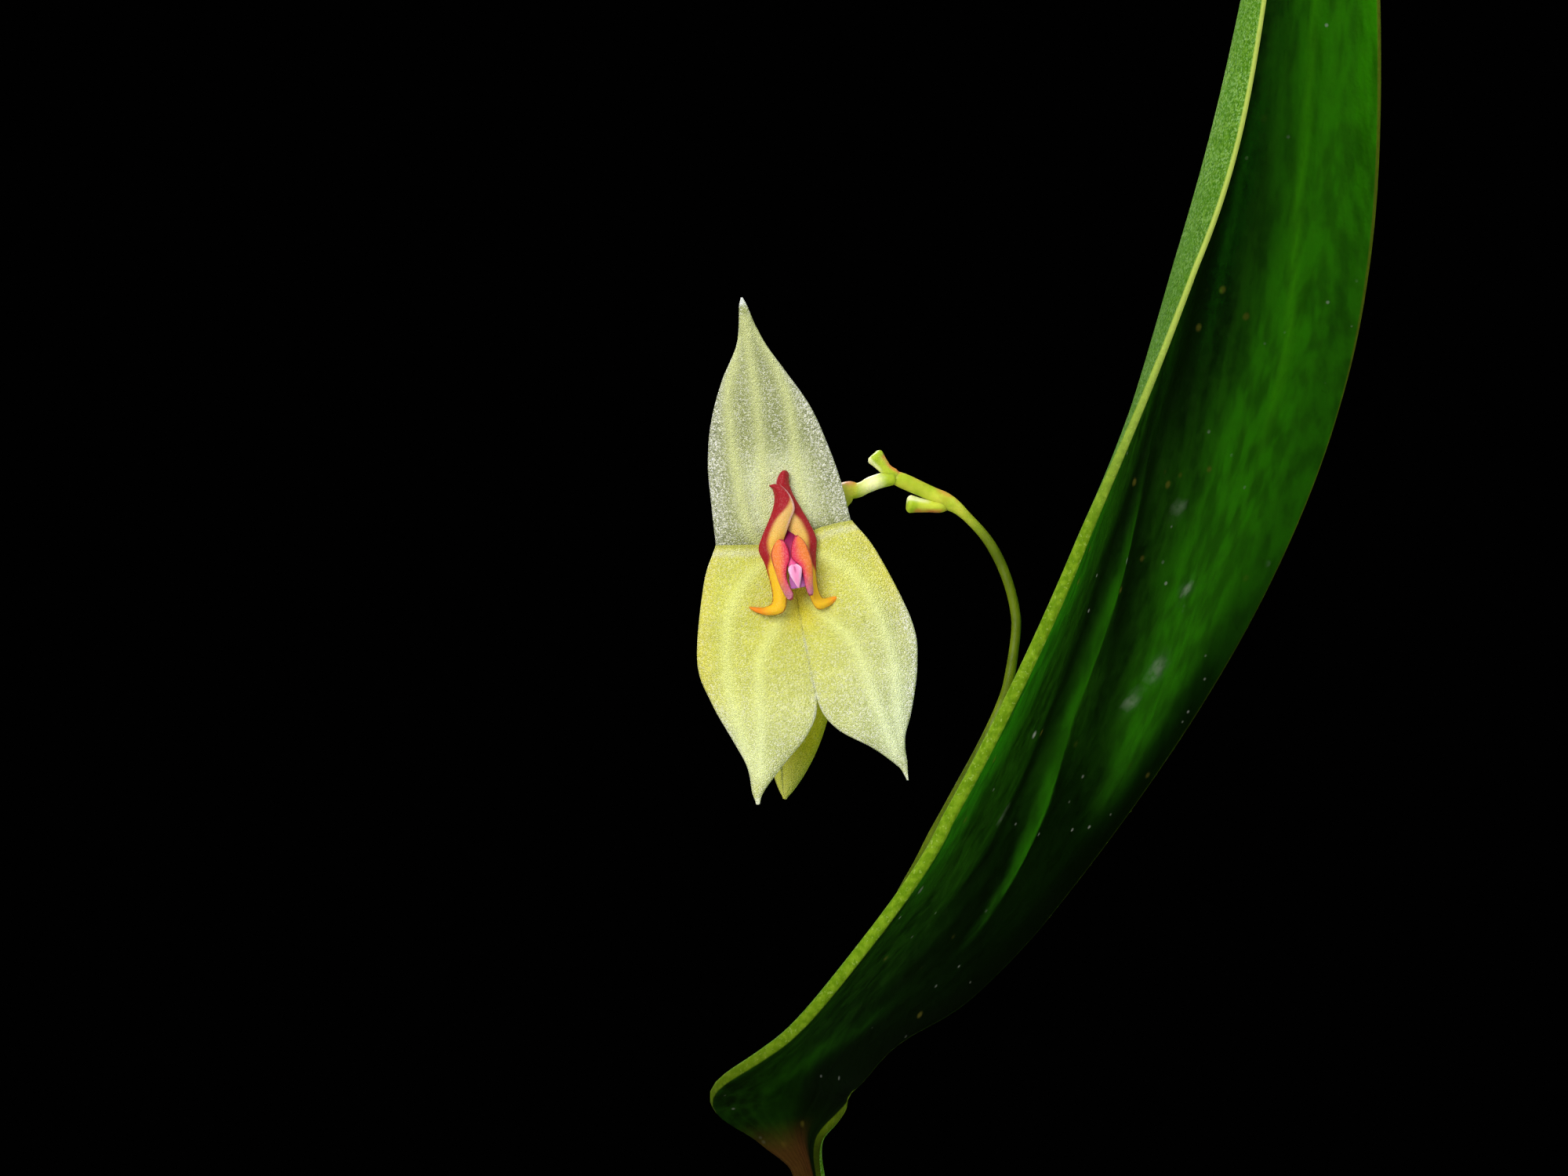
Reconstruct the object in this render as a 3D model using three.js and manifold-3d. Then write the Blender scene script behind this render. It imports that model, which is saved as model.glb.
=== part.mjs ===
// A miniature orchid in its clay pot: a tuft of sheathed stems on a moss mound, each with one
// thick channelled leaf, and thin flowering stems with small three-pointed flowers.
// Millimetres, +Z up, origin at the centre of the pot's base.
import * as THREE from 'three';
import { mergeVertices } from 'three/addons/utils/BufferGeometryUtils.js';
import Module from 'manifold-3d';

const wasm = await Module();
wasm.setup();

// Driving dimensions
const gap = 0.3; // between pieces that touch
const pot = {
  height: 50, baseRadius: 18.5, rimRadius: 27.5, bandHeight: 13, bandStep: 1.4, wall: 3.2, floor: 4,
  sides: 36, drainRadius: 2.4, drainDistance: 9.5, drains: 4,
};
const moss = { edgeHeight: 46.5, dome: 5, bumps: 60, bumpHeight: 2, bumpRadius: 2.6, rings: 10, sides: 36 };
const stem = {
  radius: 0.6, sheathRadius: 0.92, mouthRadius: 1.42, mouthSlant: 0.62, sheathLength: 8.6, sides: 7, sunk: 6,
};
const leafThickness = 0.7;
const petalThickness = 0.6;
const peduncleRadius = 0.2;
const stubRadius = 0.2;
const flowerAxis = new THREE.Vector3(-8, -10, pot.height + 87); // the first shoot is measured from here

// The first shoot, which holds its leaf against the flower: points from flowerAxis
const firstLeaf = {
  spine: [
    [0.8, 4.0, -15.4], [0.5, 3.6, -12.6], [5.1, 4.7, -7.2], [9.1, 5.3, 0.5],
    [11.1, 4.2, 8.7], [12.8, 2.9, 17.0], [14.4, 3.0, 27.8],
  ],
  facing: [[-0.55, -0.29, -0.83], [0.57, -0.33, -0.55], [0.7, -0.55, -0.18], [0.61, -0.83, 0.05]],
  fold: [0.79, 0.2, 0.39, 1.36, 1.24],
  halfWidth: 5.8,
  rows: 24,
  columns: 9,
};

// The other shoots: where each stem leaves the moss, where it ends above the brim, how its leaf stands
const otherShoots = [
  { foot: [4, 1], top: [17, 1, 54], heading: -12, rise: [74, 50], length: 47, halfWidth: 5.6, fold: 0.8 },
  { foot: [-7, 4], top: [-28, 9, 38], heading: 168, rise: [66, 38], length: 44, halfWidth: 5.4, fold: 0.75 },
  { foot: [1, 8], top: [2, 22, 33], heading: 82, rise: [72, 28], length: 42, halfWidth: 5.5, fold: 0.7 },
  { foot: [-10, -3], top: [-20, -12, 27], heading: 214, rise: [62, 24], length: 42, halfWidth: 5, fold: 0.8 },
  { foot: [7, -7], top: [13, -19, 24], heading: 304, rise: [64, 20], length: 41, halfWidth: 5.3, fold: 0.75 },
  { foot: [9, 6], top: [23, 15, 31], heading: 38, rise: [66, 28], length: 44, halfWidth: 5.6, fold: 0.7 },
  { foot: [-4, 11], top: [-14, 21, 19], heading: 128, rise: [60, 16], length: 38, halfWidth: 5, fold: 0.85 },
  { foot: [0, -9], top: [-6, -19, 14], heading: 262, rise: [58, 10], length: 34, halfWidth: 4.6, fold: 0.9 },
  { foot: [12, -1], top: [24, -5, 17], heading: -20, rise: [58, 12], length: 36, halfWidth: 4.8, fold: 0.8 },
];

const colours = {
  clay: 0xb5694a, moss: 0x7f8a45, stem: 0x8a7a4e, leaf: 0x2f7a12, stalk: 0xa8b446, bud: 0xb9bd5c,
  dorsal: 0xc9ccb4, lateral: 0xd8da90, petal: 0xc9583f, lip: 0xd8607a, column: 0xe7a0c4,
};

function randomFrom(seed) {
  let state = seed;
  return () => {
    state = (state * 1664525 + 1013904223) % 4294967296;
    return state / 4294967296;
  };
}

const point = (p) => new THREE.Vector3(p[0], p[1], p[2]);
const aboveBrim = (p) => new THREE.Vector3(p[0], p[1], p[2] + pot.height);
const lerp = THREE.MathUtils.lerp;
const radians = THREE.MathUtils.degToRad;

function smoothCurve(points) {
  return new THREE.CatmullRomCurve3(points, false, 'catmullrom', 0.5);
}

function smoothValue(values, t) {
  return smoothCurve(values.map((value) => new THREE.Vector3(value, 0, 0))).getPoint(t).x;
}

// A closed mesh from points and triangles, turned so that its faces point out
function closedMesh(points, triangles) {
  let volume = 0;
  for (const [a, b, c] of triangles) {
    volume += points[a].dot(new THREE.Vector3().crossVectors(points[b], points[c]));
  }
  const ordered = volume < 0 ? triangles.map(([a, b, c]) => [a, c, b]) : triangles;
  const geometry = new THREE.BufferGeometry();
  geometry.setAttribute('position', new THREE.Float32BufferAttribute(points.flatMap((p) => p.toArray()), 3));
  geometry.setIndex(ordered.flat());
  return geometry;
}

// Rings of points joined one to the next, with a fan over each end
function loftRings(rings) {
  const sides = rings[0].length;
  const points = rings.flat();
  const triangles = [];
  for (let i = 0; i + 1 < rings.length; i += 1) {
    for (let j = 0; j < sides; j += 1) {
      const a = i * sides + j;
      const b = i * sides + ((j + 1) % sides);
      triangles.push([a, b, b + sides], [a, b + sides, a + sides]);
    }
  }
  const centre = (ring) => ring.reduce((sum, p) => sum.add(p), new THREE.Vector3()).divideScalar(sides);
  const first = points.push(centre(rings[0])) - 1;
  const last = points.push(centre(rings[rings.length - 1])) - 1;
  const end = (rings.length - 1) * sides;
  for (let j = 0; j < sides; j += 1) {
    const next = (j + 1) % sides;
    triangles.push([first, next, j], [last, end + j, end + next]);
  }
  return closedMesh(points, triangles);
}

// A round tube along a curve: radiusAt gives its radius, from 0 at its start to 1 at its end
function taperedTube(curve, steps, sides, radiusAt) {
  const frames = curve.computeFrenetFrames(steps, false);
  const rings = [];
  for (let i = 0; i <= steps; i += 1) {
    const centre = curve.getPointAt(i / steps);
    const radius = radiusAt(i / steps);
    const ring = [];
    for (let j = 0; j < sides; j += 1) {
      const angle = (j / sides) * Math.PI * 2;
      ring.push(centre.clone()
        .addScaledVector(frames.normals[i], Math.cos(angle) * radius)
        .addScaledVector(frames.binormals[i], Math.sin(angle) * radius));
    }
    rings.push(ring);
  }
  return loftRings(rings);
}

// A curved blade: a grid of points on its middle surface, thickened alike on both faces
function blade(grid, thickness) {
  const rows = grid.length;
  const columns = grid[0].length;
  const at = (i, j) => grid[THREE.MathUtils.clamp(i, 0, rows - 1)][THREE.MathUtils.clamp(j, 0, columns - 1)];
  const front = [];
  const back = [];
  for (let i = 0; i < rows; i += 1) {
    for (let j = 0; j < columns; j += 1) {
      const along = at(i + 1, j).clone().sub(at(i - 1, j));
      const across = at(i, j + 1).clone().sub(at(i, j - 1));
      const normal = along.cross(across).normalize();
      front.push(at(i, j).clone().addScaledVector(normal, thickness / 2));
      back.push(at(i, j).clone().addScaledVector(normal, -thickness / 2));
    }
  }
  const count = rows * columns;
  const triangles = [];
  for (let i = 0; i + 1 < rows; i += 1) {
    for (let j = 0; j + 1 < columns; j += 1) {
      const a = i * columns + j;
      const b = a + columns;
      triangles.push([a, b, b + 1], [a, b + 1, a + 1]);
      triangles.push([count + a, count + b + 1, count + b], [count + a, count + a + 1, count + b + 1]);
    }
  }
  const edge = [];
  for (let i = 0; i < rows; i += 1) edge.push(i * columns);
  for (let j = 1; j < columns; j += 1) edge.push((rows - 1) * columns + j);
  for (let i = rows - 2; i >= 0; i -= 1) edge.push(i * columns + columns - 1);
  for (let j = columns - 2; j >= 1; j -= 1) edge.push(j);
  edge.forEach((from, k) => {
    const to = edge[(k + 1) % edge.length];
    triangles.push([to, from, count + from], [to, count + from, count + to]);
  });
  return closedMesh([...front, ...back], triangles);
}

function toSolid(geometry) {
  const bare = geometry.clone();
  bare.deleteAttribute('normal');
  bare.deleteAttribute('uv');
  const merged = mergeVertices(bare, 1e-5);
  return new wasm.Manifold(new wasm.Mesh({
    numProp: 3,
    vertProperties: new Float32Array(merged.attributes.position.array),
    triVerts: new Uint32Array(merged.index.array),
  }));
}

function fromSolid(solid) {
  const mesh = solid.getMesh();
  const geometry = new THREE.BufferGeometry();
  geometry.setAttribute('position', new THREE.BufferAttribute(new Float32Array(mesh.vertProperties), 3));
  geometry.setIndex(new THREE.BufferAttribute(new Uint32Array(mesh.triVerts), 1));
  return geometry;
}

function fuse(geometries) {
  return fromSolid(geometries.map(toSolid).reduce((whole, piece) => whole.add(piece)));
}

function cut(geometry, tools) {
  return fromSolid(tools.map(toSolid).reduce((whole, tool) => whole.subtract(tool), toSolid(geometry)));
}

function part(name, geometry, colour, roughness) {
  const finish = new THREE.MeshStandardMaterial({ color: colour, roughness, metalness: 0 });
  const mesh = new THREE.Mesh(geometry, finish);
  mesh.name = name;
  return mesh;
}

// Pot: a turned clay wall with a rim band and drain holes round a solid centre
function potInnerRadius(height) {
  const foot = pot.baseRadius - pot.wall;
  const mouth = pot.rimRadius - pot.wall - pot.bandStep * 0.5;
  return lerp(foot, mouth, (height - pot.floor) / (pot.height - pot.floor));
}

function potGeometry() {
  const { height, baseRadius, rimRadius, bandHeight, bandStep, floor } = pot;
  const bandFoot = height - bandHeight;
  const wallAtBand = potInnerRadius(bandFoot) + pot.wall;
  const profile = [
    [0, 0], [baseRadius - 0.8, 0], [baseRadius, 0.8],
    [wallAtBand - 0.2, bandFoot - 0.4], [wallAtBand + bandStep, bandFoot + 0.5],
    [rimRadius - 0.2, height - 1], [rimRadius - 0.9, height],
    [potInnerRadius(height) + 0.7, height], [potInnerRadius(height - 1), height - 1],
    [potInnerRadius(floor + 2), floor + 2], [potInnerRadius(floor) - 2, floor], [0, floor],
  ];
  const lathe = new THREE.LatheGeometry(profile.map(([r, z]) => new THREE.Vector2(r, z)), pot.sides);
  lathe.rotateX(Math.PI / 2);
  const wall = closedLathe(lathe);
  const drains = [];
  for (let k = 0; k < pot.drains; k += 1) {
    const angle = ((k + 0.5) / pot.drains) * Math.PI * 2;
    const drain = new THREE.CylinderGeometry(pot.drainRadius, pot.drainRadius, floor * 3, 14);
    drain.rotateX(Math.PI / 2);
    drain.translate(Math.cos(angle) * pot.drainDistance, Math.sin(angle) * pot.drainDistance, floor / 2);
    drains.push(drain);
  }
  return cut(wall, drains);
}

// The turned wall with its seam and its points on the axis merged, and no triangle of no area
function closedLathe(lathe) {
  const bare = lathe.clone();
  bare.deleteAttribute('normal');
  bare.deleteAttribute('uv');
  const merged = mergeVertices(bare, 1e-4);
  const position = merged.attributes.position;
  const points = [];
  for (let i = 0; i < position.count; i += 1) {
    points.push(new THREE.Vector3().fromBufferAttribute(position, i));
  }
  const triangles = [];
  for (let i = 0; i < merged.index.count; i += 3) {
    const [a, b, c] = [merged.index.getX(i), merged.index.getX(i + 1), merged.index.getX(i + 2)];
    if (a !== b && b !== c && c !== a) triangles.push([a, b, c]);
  }
  return closedMesh(points, triangles);
}

// Moss: a plug that fills the pot, domed and tufted on top
const random = randomFrom(7);
const mossBumps = Array.from({ length: moss.bumps }, () => {
  const angle = random() * Math.PI * 2;
  const reach = Math.sqrt(random()) * (potInnerRadius(moss.edgeHeight) - 1);
  return { x: Math.cos(angle) * reach, y: Math.sin(angle) * reach, height: lerp(0.5, 1, random()) };
});

function mossHeight(x, y) {
  const edge = potInnerRadius(moss.edgeHeight);
  const share = Math.min(1, (x * x + y * y) / (edge * edge));
  let height = moss.edgeHeight + moss.dome * (1 - share);
  for (const bump of mossBumps) {
    const distance = ((x - bump.x) ** 2 + (y - bump.y) ** 2) / (moss.bumpRadius * moss.bumpRadius);
    height += bump.height * moss.bumpHeight * Math.exp(-distance) * (1 - share ** 4);
  }
  return height;
}

function mossPlug() {
  const rings = [];
  const ringAt = (radius, heightAt) => {
    const ring = [];
    for (let j = 0; j < moss.sides; j += 1) {
      const angle = (j / moss.sides) * Math.PI * 2;
      const [x, y] = [Math.cos(angle) * radius, Math.sin(angle) * radius];
      ring.push(new THREE.Vector3(x, y, heightAt(x, y)));
    }
    return ring;
  };
  const foot = pot.floor + gap;
  rings.push(ringAt(potInnerRadius(pot.floor) - 2.6, () => foot));
  rings.push(ringAt(potInnerRadius(foot + 2) - gap - 0.2, () => foot + 2.2));
  const brim = potInnerRadius(moss.edgeHeight) - gap - 0.1;
  rings.push(ringAt(brim, () => moss.edgeHeight - 1));
  for (let i = moss.rings; i >= 1; i -= 1) {
    rings.push(ringAt((brim - 0.3) * (i / (moss.rings + 0.3)), mossHeight));
  }
  return loftRings(rings);
}

// Stem: a thin stalk in a row of ribbed sheaths, each flaring to a slanted mouth
function stemCurve(shoot) {
  const [x, y] = shoot.foot;
  const surface = mossHeight(x, y);
  const top = aboveBrim(shoot.top);
  const foot = new THREE.Vector3(x, y, surface - stem.sunk);
  const lean = new THREE.Vector3(x * 1.04, y * 1.04, surface + 3);
  const middle = new THREE.Vector3(lerp(x, top.x, 0.42), lerp(y, top.y, 0.42), lerp(surface, top.z, 0.52));
  return smoothCurve([foot, lean, middle, top]);
}

function sheathedStem(curve) {
  const length = curve.getLength();
  const sheaths = Math.max(2, Math.round((length - stem.sunk) / stem.sheathLength));
  const first = (stem.sunk * 0.75) / length;
  const share = (0.985 - first) / sheaths;
  const stations = [
    { at: 0, radius: stem.radius, slant: 0 },
    { at: first * 0.9, radius: stem.radius, slant: 0 },
  ];
  for (let k = 0; k < sheaths; k += 1) {
    const start = first + share * k;
    const slant = (k % 2 === 0 ? 1 : -1) * stem.mouthSlant;
    stations.push({ at: start + share * 0.12, radius: stem.sheathRadius * 0.84, slant: 0 });
    stations.push({ at: start + share * 0.72, radius: stem.sheathRadius, slant: slant * 0.3 });
    stations.push({ at: start + share * 0.97, radius: stem.mouthRadius, slant });
    stations.push({ at: start + share * 0.98, radius: stem.radius + 0.06, slant: 0 });
  }
  stations.push({ at: 1, radius: stem.radius * 0.9, slant: 0 });
  const fine = 120;
  const frames = curve.computeFrenetFrames(fine, false);
  const rings = stations.map(({ at, radius, slant }) => {
    const centre = curve.getPointAt(at);
    const frame = Math.round(at * fine);
    const ring = [];
    for (let j = 0; j < stem.sides; j += 1) {
      const angle = (j / stem.sides) * Math.PI * 2;
      ring.push(centre.clone()
        .addScaledVector(frames.normals[frame], Math.cos(angle) * radius)
        .addScaledVector(frames.binormals[frame], Math.sin(angle) * radius)
        .addScaledVector(frames.tangents[frame], Math.cos(angle) * slant));
    }
    return ring;
  });
  return loftRings(rings);
}

// Leaf: a channelled blade along a spine, its width swelling from a short stalk to a drawn tip
function leafShare(t, stalk, widest) {
  const rise = THREE.MathUtils.clamp((t - stalk) / (widest - stalk), 0, 1);
  const fall = THREE.MathUtils.clamp((1 - t) / (1 - widest), 0, 1);
  const share = t < widest ? Math.sin((rise * Math.PI) / 2) ** 0.8 : Math.sin((fall * Math.PI) / 2) ** 0.9;
  return Math.max(share, 0.08);
}

function leafBlade({ spine, facing, fold, halfWidth, rows, columns }) {
  const spineCurve = smoothCurve(spine);
  const facingCurve = smoothCurve(facing);
  const grid = [];
  for (let i = 0; i < rows; i += 1) {
    const t = i / (rows - 1);
    const middle = spineCurve.getPoint(t);
    const tangent = spineCurve.getTangent(t);
    const face = facingCurve.getPoint(t);
    const normal = face.addScaledVector(tangent, -face.dot(tangent)).normalize();
    const across = new THREE.Vector3().crossVectors(tangent, normal).normalize();
    const bend = smoothValue(fold, t);
    const radius = (halfWidth * leafShare(t, 0.05, 0.45)) / bend;
    const row = [];
    for (let j = 0; j < columns; j += 1) {
      const angle = bend * ((2 * j) / (columns - 1) - 1);
      row.push(middle.clone()
        .addScaledVector(across, radius * Math.sin(angle))
        .addScaledVector(normal, radius * (1 - Math.cos(angle))));
    }
    grid.push(row);
  }
  return blade(grid, leafThickness);
}

function standingLeaf(shoot) {
  const heading = radians(shoot.heading);
  const outward = new THREE.Vector3(Math.cos(heading), Math.sin(heading), 0);
  const steps = 6;
  const spine = [aboveBrim(shoot.top)];
  const facing = [];
  for (let i = 0; i <= steps; i += 1) {
    const rise = radians(lerp(shoot.rise[0], shoot.rise[1], i / steps));
    facing.push(outward.clone().multiplyScalar(-Math.sin(rise)).add(new THREE.Vector3(0, 0, Math.cos(rise))));
    if (i < steps) {
      spine.push(spine[i].clone()
        .addScaledVector(outward, (shoot.length / steps) * Math.cos(rise))
        .add(new THREE.Vector3(0, 0, (shoot.length / steps) * Math.sin(rise))));
    }
  }
  const start = spine[1].clone().sub(spine[0]).normalize();
  spine.forEach((p) => p.addScaledVector(start, gap));
  const fold = [shoot.fold * 0.8, shoot.fold, shoot.fold, shoot.fold * 0.6];
  return leafBlade({ spine, facing, fold, halfWidth: shoot.halfWidth, rows: 12, columns: 6 });
}

// Flowering stem: a thin peduncle, then a jointed rachis with the cupped stubs of dropped flowers
function stubbedStalk({ peduncle, joints, stubs, stalks, steps }) {
  const pieces = [taperedTube(smoothCurve(peduncle), steps, 7, (t) => peduncleRadius * lerp(1.08, 0.92, t))];
  for (const joint of joints) {
    const knuckle = new THREE.IcosahedronGeometry(peduncleRadius * 1.45, 1);
    knuckle.translate(joint.x, joint.y, joint.z);
    pieces.push(knuckle);
  }
  for (const stub of stubs) {
    pieces.push(taperedTube(smoothCurve(stub), 4, 7, (t) => stubRadius * (0.8 + 0.55 * t * t)));
  }
  for (const stalk of stalks) {
    pieces.push(taperedTube(smoothCurve(stalk.points), stalk.steps, 7, stalk.radiusAt));
  }
  return fuse(pieces);
}

// Closed bud: three pointed sepals pressed together, ridged where they meet
function budGeometry(curve, width) {
  const steps = 9;
  const sides = 9;
  const frames = curve.computeFrenetFrames(steps, false);
  const rings = [];
  for (let i = 0; i <= steps; i += 1) {
    const t = i / steps;
    const swell = Math.sin(Math.PI * (0.1 + t * 0.9) ** 1.1) ** 0.75;
    const radius = Math.max(0.12, (width / 2) * swell);
    const ring = [];
    for (let j = 0; j < sides; j += 1) {
      const angle = (j / sides) * Math.PI * 2;
      const ridged = radius * (1 + 0.1 * Math.cos(3 * angle));
      ring.push(curve.getPointAt(t)
        .addScaledVector(frames.normals[i], Math.cos(angle) * ridged)
        .addScaledVector(frames.binormals[i], Math.sin(angle) * ridged));
    }
    rings.push(ring);
  }
  return loftRings(rings);
}

// Flower, in its own frame: x across, y towards the upper sepal's tip, z out to the viewer
const dorsalWidths = [
  [0.15, 0.9], [0.43, 1.72], [2.0, 1.65], [3.2, 1.37], [4.6, 0.75], [6.08, 0.14], [6.5, 0.1],
];
const lateralOuter = [
  [0.75, -0.2], [1.78, 0.06], [2.35, -0.75], [2.78, -2.4], [2.6, -3.6], [2.06, -5.0], [1.97, -5.75],
  [1.96, -6.15],
];
const lateralInner = [
  [0.0, -0.3], [0.0, -0.8], [0.0, -1.7], [0.0, -3.0], [0.06, -4.0], [0.8, -5.02], [1.7, -5.7], [1.86, -6.15],
];

// How far a sepal's surface lies in front of or behind the flower's plane
function sepalDepth(x, y) {
  const reach = Math.hypot(x, y);
  return -0.3 + 0.016 * reach * reach - 0.03 * x * x;
}

function dorsalSepal() {
  const widths = smoothCurve(dorsalWidths.map(([y, half]) => new THREE.Vector3(half, y, 0)));
  const grid = [];
  const rows = 12;
  for (let i = 0; i < rows; i += 1) {
    const edge = widths.getPoint(i / (rows - 1));
    const row = [];
    for (let j = -3; j <= 3; j += 1) {
      const x = (edge.x * j) / 3;
      row.push(new THREE.Vector3(x, edge.y + 0.12 * (1 - (j / 3) ** 2), sepalDepth(x, edge.y)));
    }
    grid.push(row);
  }
  return blade(grid, petalThickness);
}

function lateralSepals() {
  const rows = 12;
  const outer = smoothCurve(lateralOuter.map(([x, y]) => new THREE.Vector3(x, y, 0)));
  const inner = smoothCurve(lateralInner.map(([x, y]) => new THREE.Vector3(x, y, 0)));
  const lobes = [-1, 1].map((side) => {
    const grid = [];
    for (let i = 0; i < rows; i += 1) {
      const t = i / (rows - 1);
      const [from, to] = [inner.getPoint(t), outer.getPoint(t)];
      const overlap = from.y > -3.8 ? -0.04 : 0; // the lobes meet along the middle
      const row = [];
      for (let j = 0; j <= 5; j += 1) {
        const x = lerp(from.x + overlap, to.x, j / 5);
        const y = lerp(from.y, to.y, j / 5);
        row.push(new THREE.Vector3(side * x, y, sepalDepth(x, y)));
      }
      grid.push(row);
    }
    return blade(grid, petalThickness);
  });
  return fuse(lobes);
}

// A small flat lobe with a smooth outline
function lobe(outline, depth, divisions) {
  const curve = new THREE.CatmullRomCurve3(outline.map(([x, y]) => new THREE.Vector3(x, y, 0)), true);
  const rim = curve.getPoints(divisions).slice(0, -1);
  const shape = new THREE.Shape(rim.map((p) => new THREE.Vector2(p.x, p.y)));
  const geometry = new THREE.ExtrudeGeometry(shape, { depth: petalThickness, bevelEnabled: false });
  geometry.translate(0, 0, depth);
  return geometry;
}

const petalLeft = [
  [-0.71, 0.1], [-0.49, 0.54], [-0.16, 1.2], [-0.14, 1.48], [-0.22, 1.64], [-0.02, 1.52], [0.06, 1.2],
  [0.0, 0.7], [-0.12, 0.2], [-0.3, -0.4], [-0.3, -1.3], [-0.45, -1.58], [-0.8, -1.62], [-1.18, -1.33],
  [-0.72, -1.39], [-0.57, -1.14], [-0.6, -0.4],
];
const petalRight = [
  [0.36, 0.2], [0.34, 0.7], [0.36, 1.15], [0.26, 1.6], [0.14, 1.84], [0.3, 1.93], [0.44, 1.3], [0.63, 0.58],
  [0.74, 0.1], [0.62, -0.5], [0.56, -1.2], [0.66, -1.42], [1.16, -1.43], [0.7, -1.68], [0.44, -1.66],
  [0.34, -1.3], [0.36, -0.4],
];
const lipLobeLeft = [
  [-0.14, 0.25], [-0.42, 0.0], [-0.4, -0.6], [-0.22, -1.26], [-0.1, -1.1], [-0.04, -0.4],
];
const lipLobeRight = [
  [0.27, 0.28], [0.09, 0.0], [0.16, -0.5], [0.3, -1.24], [0.42, -1.2], [0.52, -0.3], [0.45, 0.05],
];
const petalDepth = gap;
const lipDepth = petalDepth + petalThickness + gap;
const columnDepth = lipDepth + petalThickness + gap;

function lipGeometry() {
  const bridge = new THREE.BoxGeometry(0.5, 0.4, petalThickness);
  bridge.translate(0.06, -0.15, lipDepth + petalThickness / 2);
  return fuse([lobe(lipLobeLeft, lipDepth, 16), lobe(lipLobeRight, lipDepth, 18), bridge]);
}

function columnGeometry() {
  const middle = 0.07;
  const sides = 8;
  const stations = [[-0.36, 0.08], [-0.45, 0.2], [-0.62, 0.24], [-0.85, 0.2], [-1.05, 0.12]];
  const deepest = columnDepth + Math.max(...stations.map(([, radius]) => radius));
  const rings = stations.map(([y, radius]) => {
    const ring = [];
    for (let j = 0; j < sides; j += 1) {
      const angle = (j / sides) * Math.PI * 2;
      const [x, z] = [middle + Math.cos(angle) * radius, deepest + Math.sin(angle) * radius];
      ring.push(new THREE.Vector3(x, y, z));
    }
    return ring;
  });
  return loftRings(rings);
}

// A whole open flower, with its across and up directions as the plant holds it
function flower(number, centre, across, up) {
  const group = new THREE.Group();
  const out = new THREE.Vector3().crossVectors(across, up);
  group.applyMatrix4(new THREE.Matrix4().makeBasis(across, up, out).setPosition(centre));
  group.add(part(`dorsal_sepal_${number}`, dorsalSepal(), colours.dorsal, 0.55));
  group.add(part(`lateral_sepals_${number}`, lateralSepals(), colours.lateral, 0.55));
  group.add(part(`petal_left_${number}`, lobe(petalLeft, petalDepth, 34), colours.petal, 0.5));
  group.add(part(`petal_right_${number}`, lobe(petalRight, petalDepth, 34), colours.petal, 0.5));
  group.add(part(`lip_${number}`, lipGeometry(), colours.lip, 0.5));
  group.add(part(`column_${number}`, columnGeometry(), colours.column, 0.45));
  return group;
}

const fromAxis = (p) => point(p).add(flowerAxis);

// The first shoot's flowering stem, which holds the open flower and the bud behind it
const firstStalk = {
  peduncle: [
    [1.3, 5.4, -14.8], [1.3, 6.4, -12.6], [2.3, 5.9, -9.8], [3.55, 3.9, -7.2], [4.38, 2.9, -5.5],
    [5.13, 2.5, -4.1], [5.8, 2.1, -2.15], [5.98, 2.0, -0.3], [5.65, 2.0, 0.57], [5.1, 1.9, 1.38],
    [4.34, 1.8, 2.18], [3.6, 1.7, 2.58], [2.64, 1.6, 2.98],
  ].map(fromAxis),
  joints: [[4.34, 1.8, 2.2], [2.64, 1.6, 2.98]].map(fromAxis),
  stubs: [
    [[4.34, 1.8, 2.2], [3.85, 1.55, 2.12], [3.25, 1.35, 2.16]],
    [[2.64, 1.6, 2.98], [2.45, 1.5, 3.18], [2.3, 1.35, 3.36]],
  ].map((stub) => stub.map(fromAxis)),
  stalks: [
    {
      points: [
        [2.64, 1.6, 2.98], [2.02, 1.55, 2.62], [1.45, 1.6, 2.38], [0.85, 1.65, 1.85], [0.3, 1.45, 1.2],
        [0.05, 1.05, 0.95],
      ].map(fromAxis),
      steps: 9,
      radiusAt: (t) => lerp(0.17, 0.29, THREE.MathUtils.smoothstep(t, 0.15, 0.45)),
    },
    {
      points: [[1.75, 1.6, 2.5], [1.3, 2.2, 1.95], [0.9, 2.55, 1.4], [0.66, 2.7, 0.95]].map(fromAxis),
      steps: 6,
      radiusAt: (t) => lerp(0.15, 0.19, t),
    },
  ],
  steps: 30,
};
const firstBud = [[0.62, 2.72, 0.62], [0.46, 2.9, -1.6], [0.28, 2.8, -3.6], [0.02, 2.5, -5.45]].map(fromAxis);

// Flowering stems of other shoots: each arches from a stem's end and carries stubs and a bud
const otherStalks = [
  { shoot: 1, side: [-0.3, 0.95], arch: 13, height: 20, bud: 2.8 },
  { shoot: 3, side: [-0.95, 0.3], arch: 11, height: 15, bud: 2.2 },
  { shoot: 5, side: [0.75, -0.66], arch: 12, height: 16, bud: 2.4 },
];
const flowerBearer = 0; // which of them ends in the second open flower, above its bud

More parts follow.
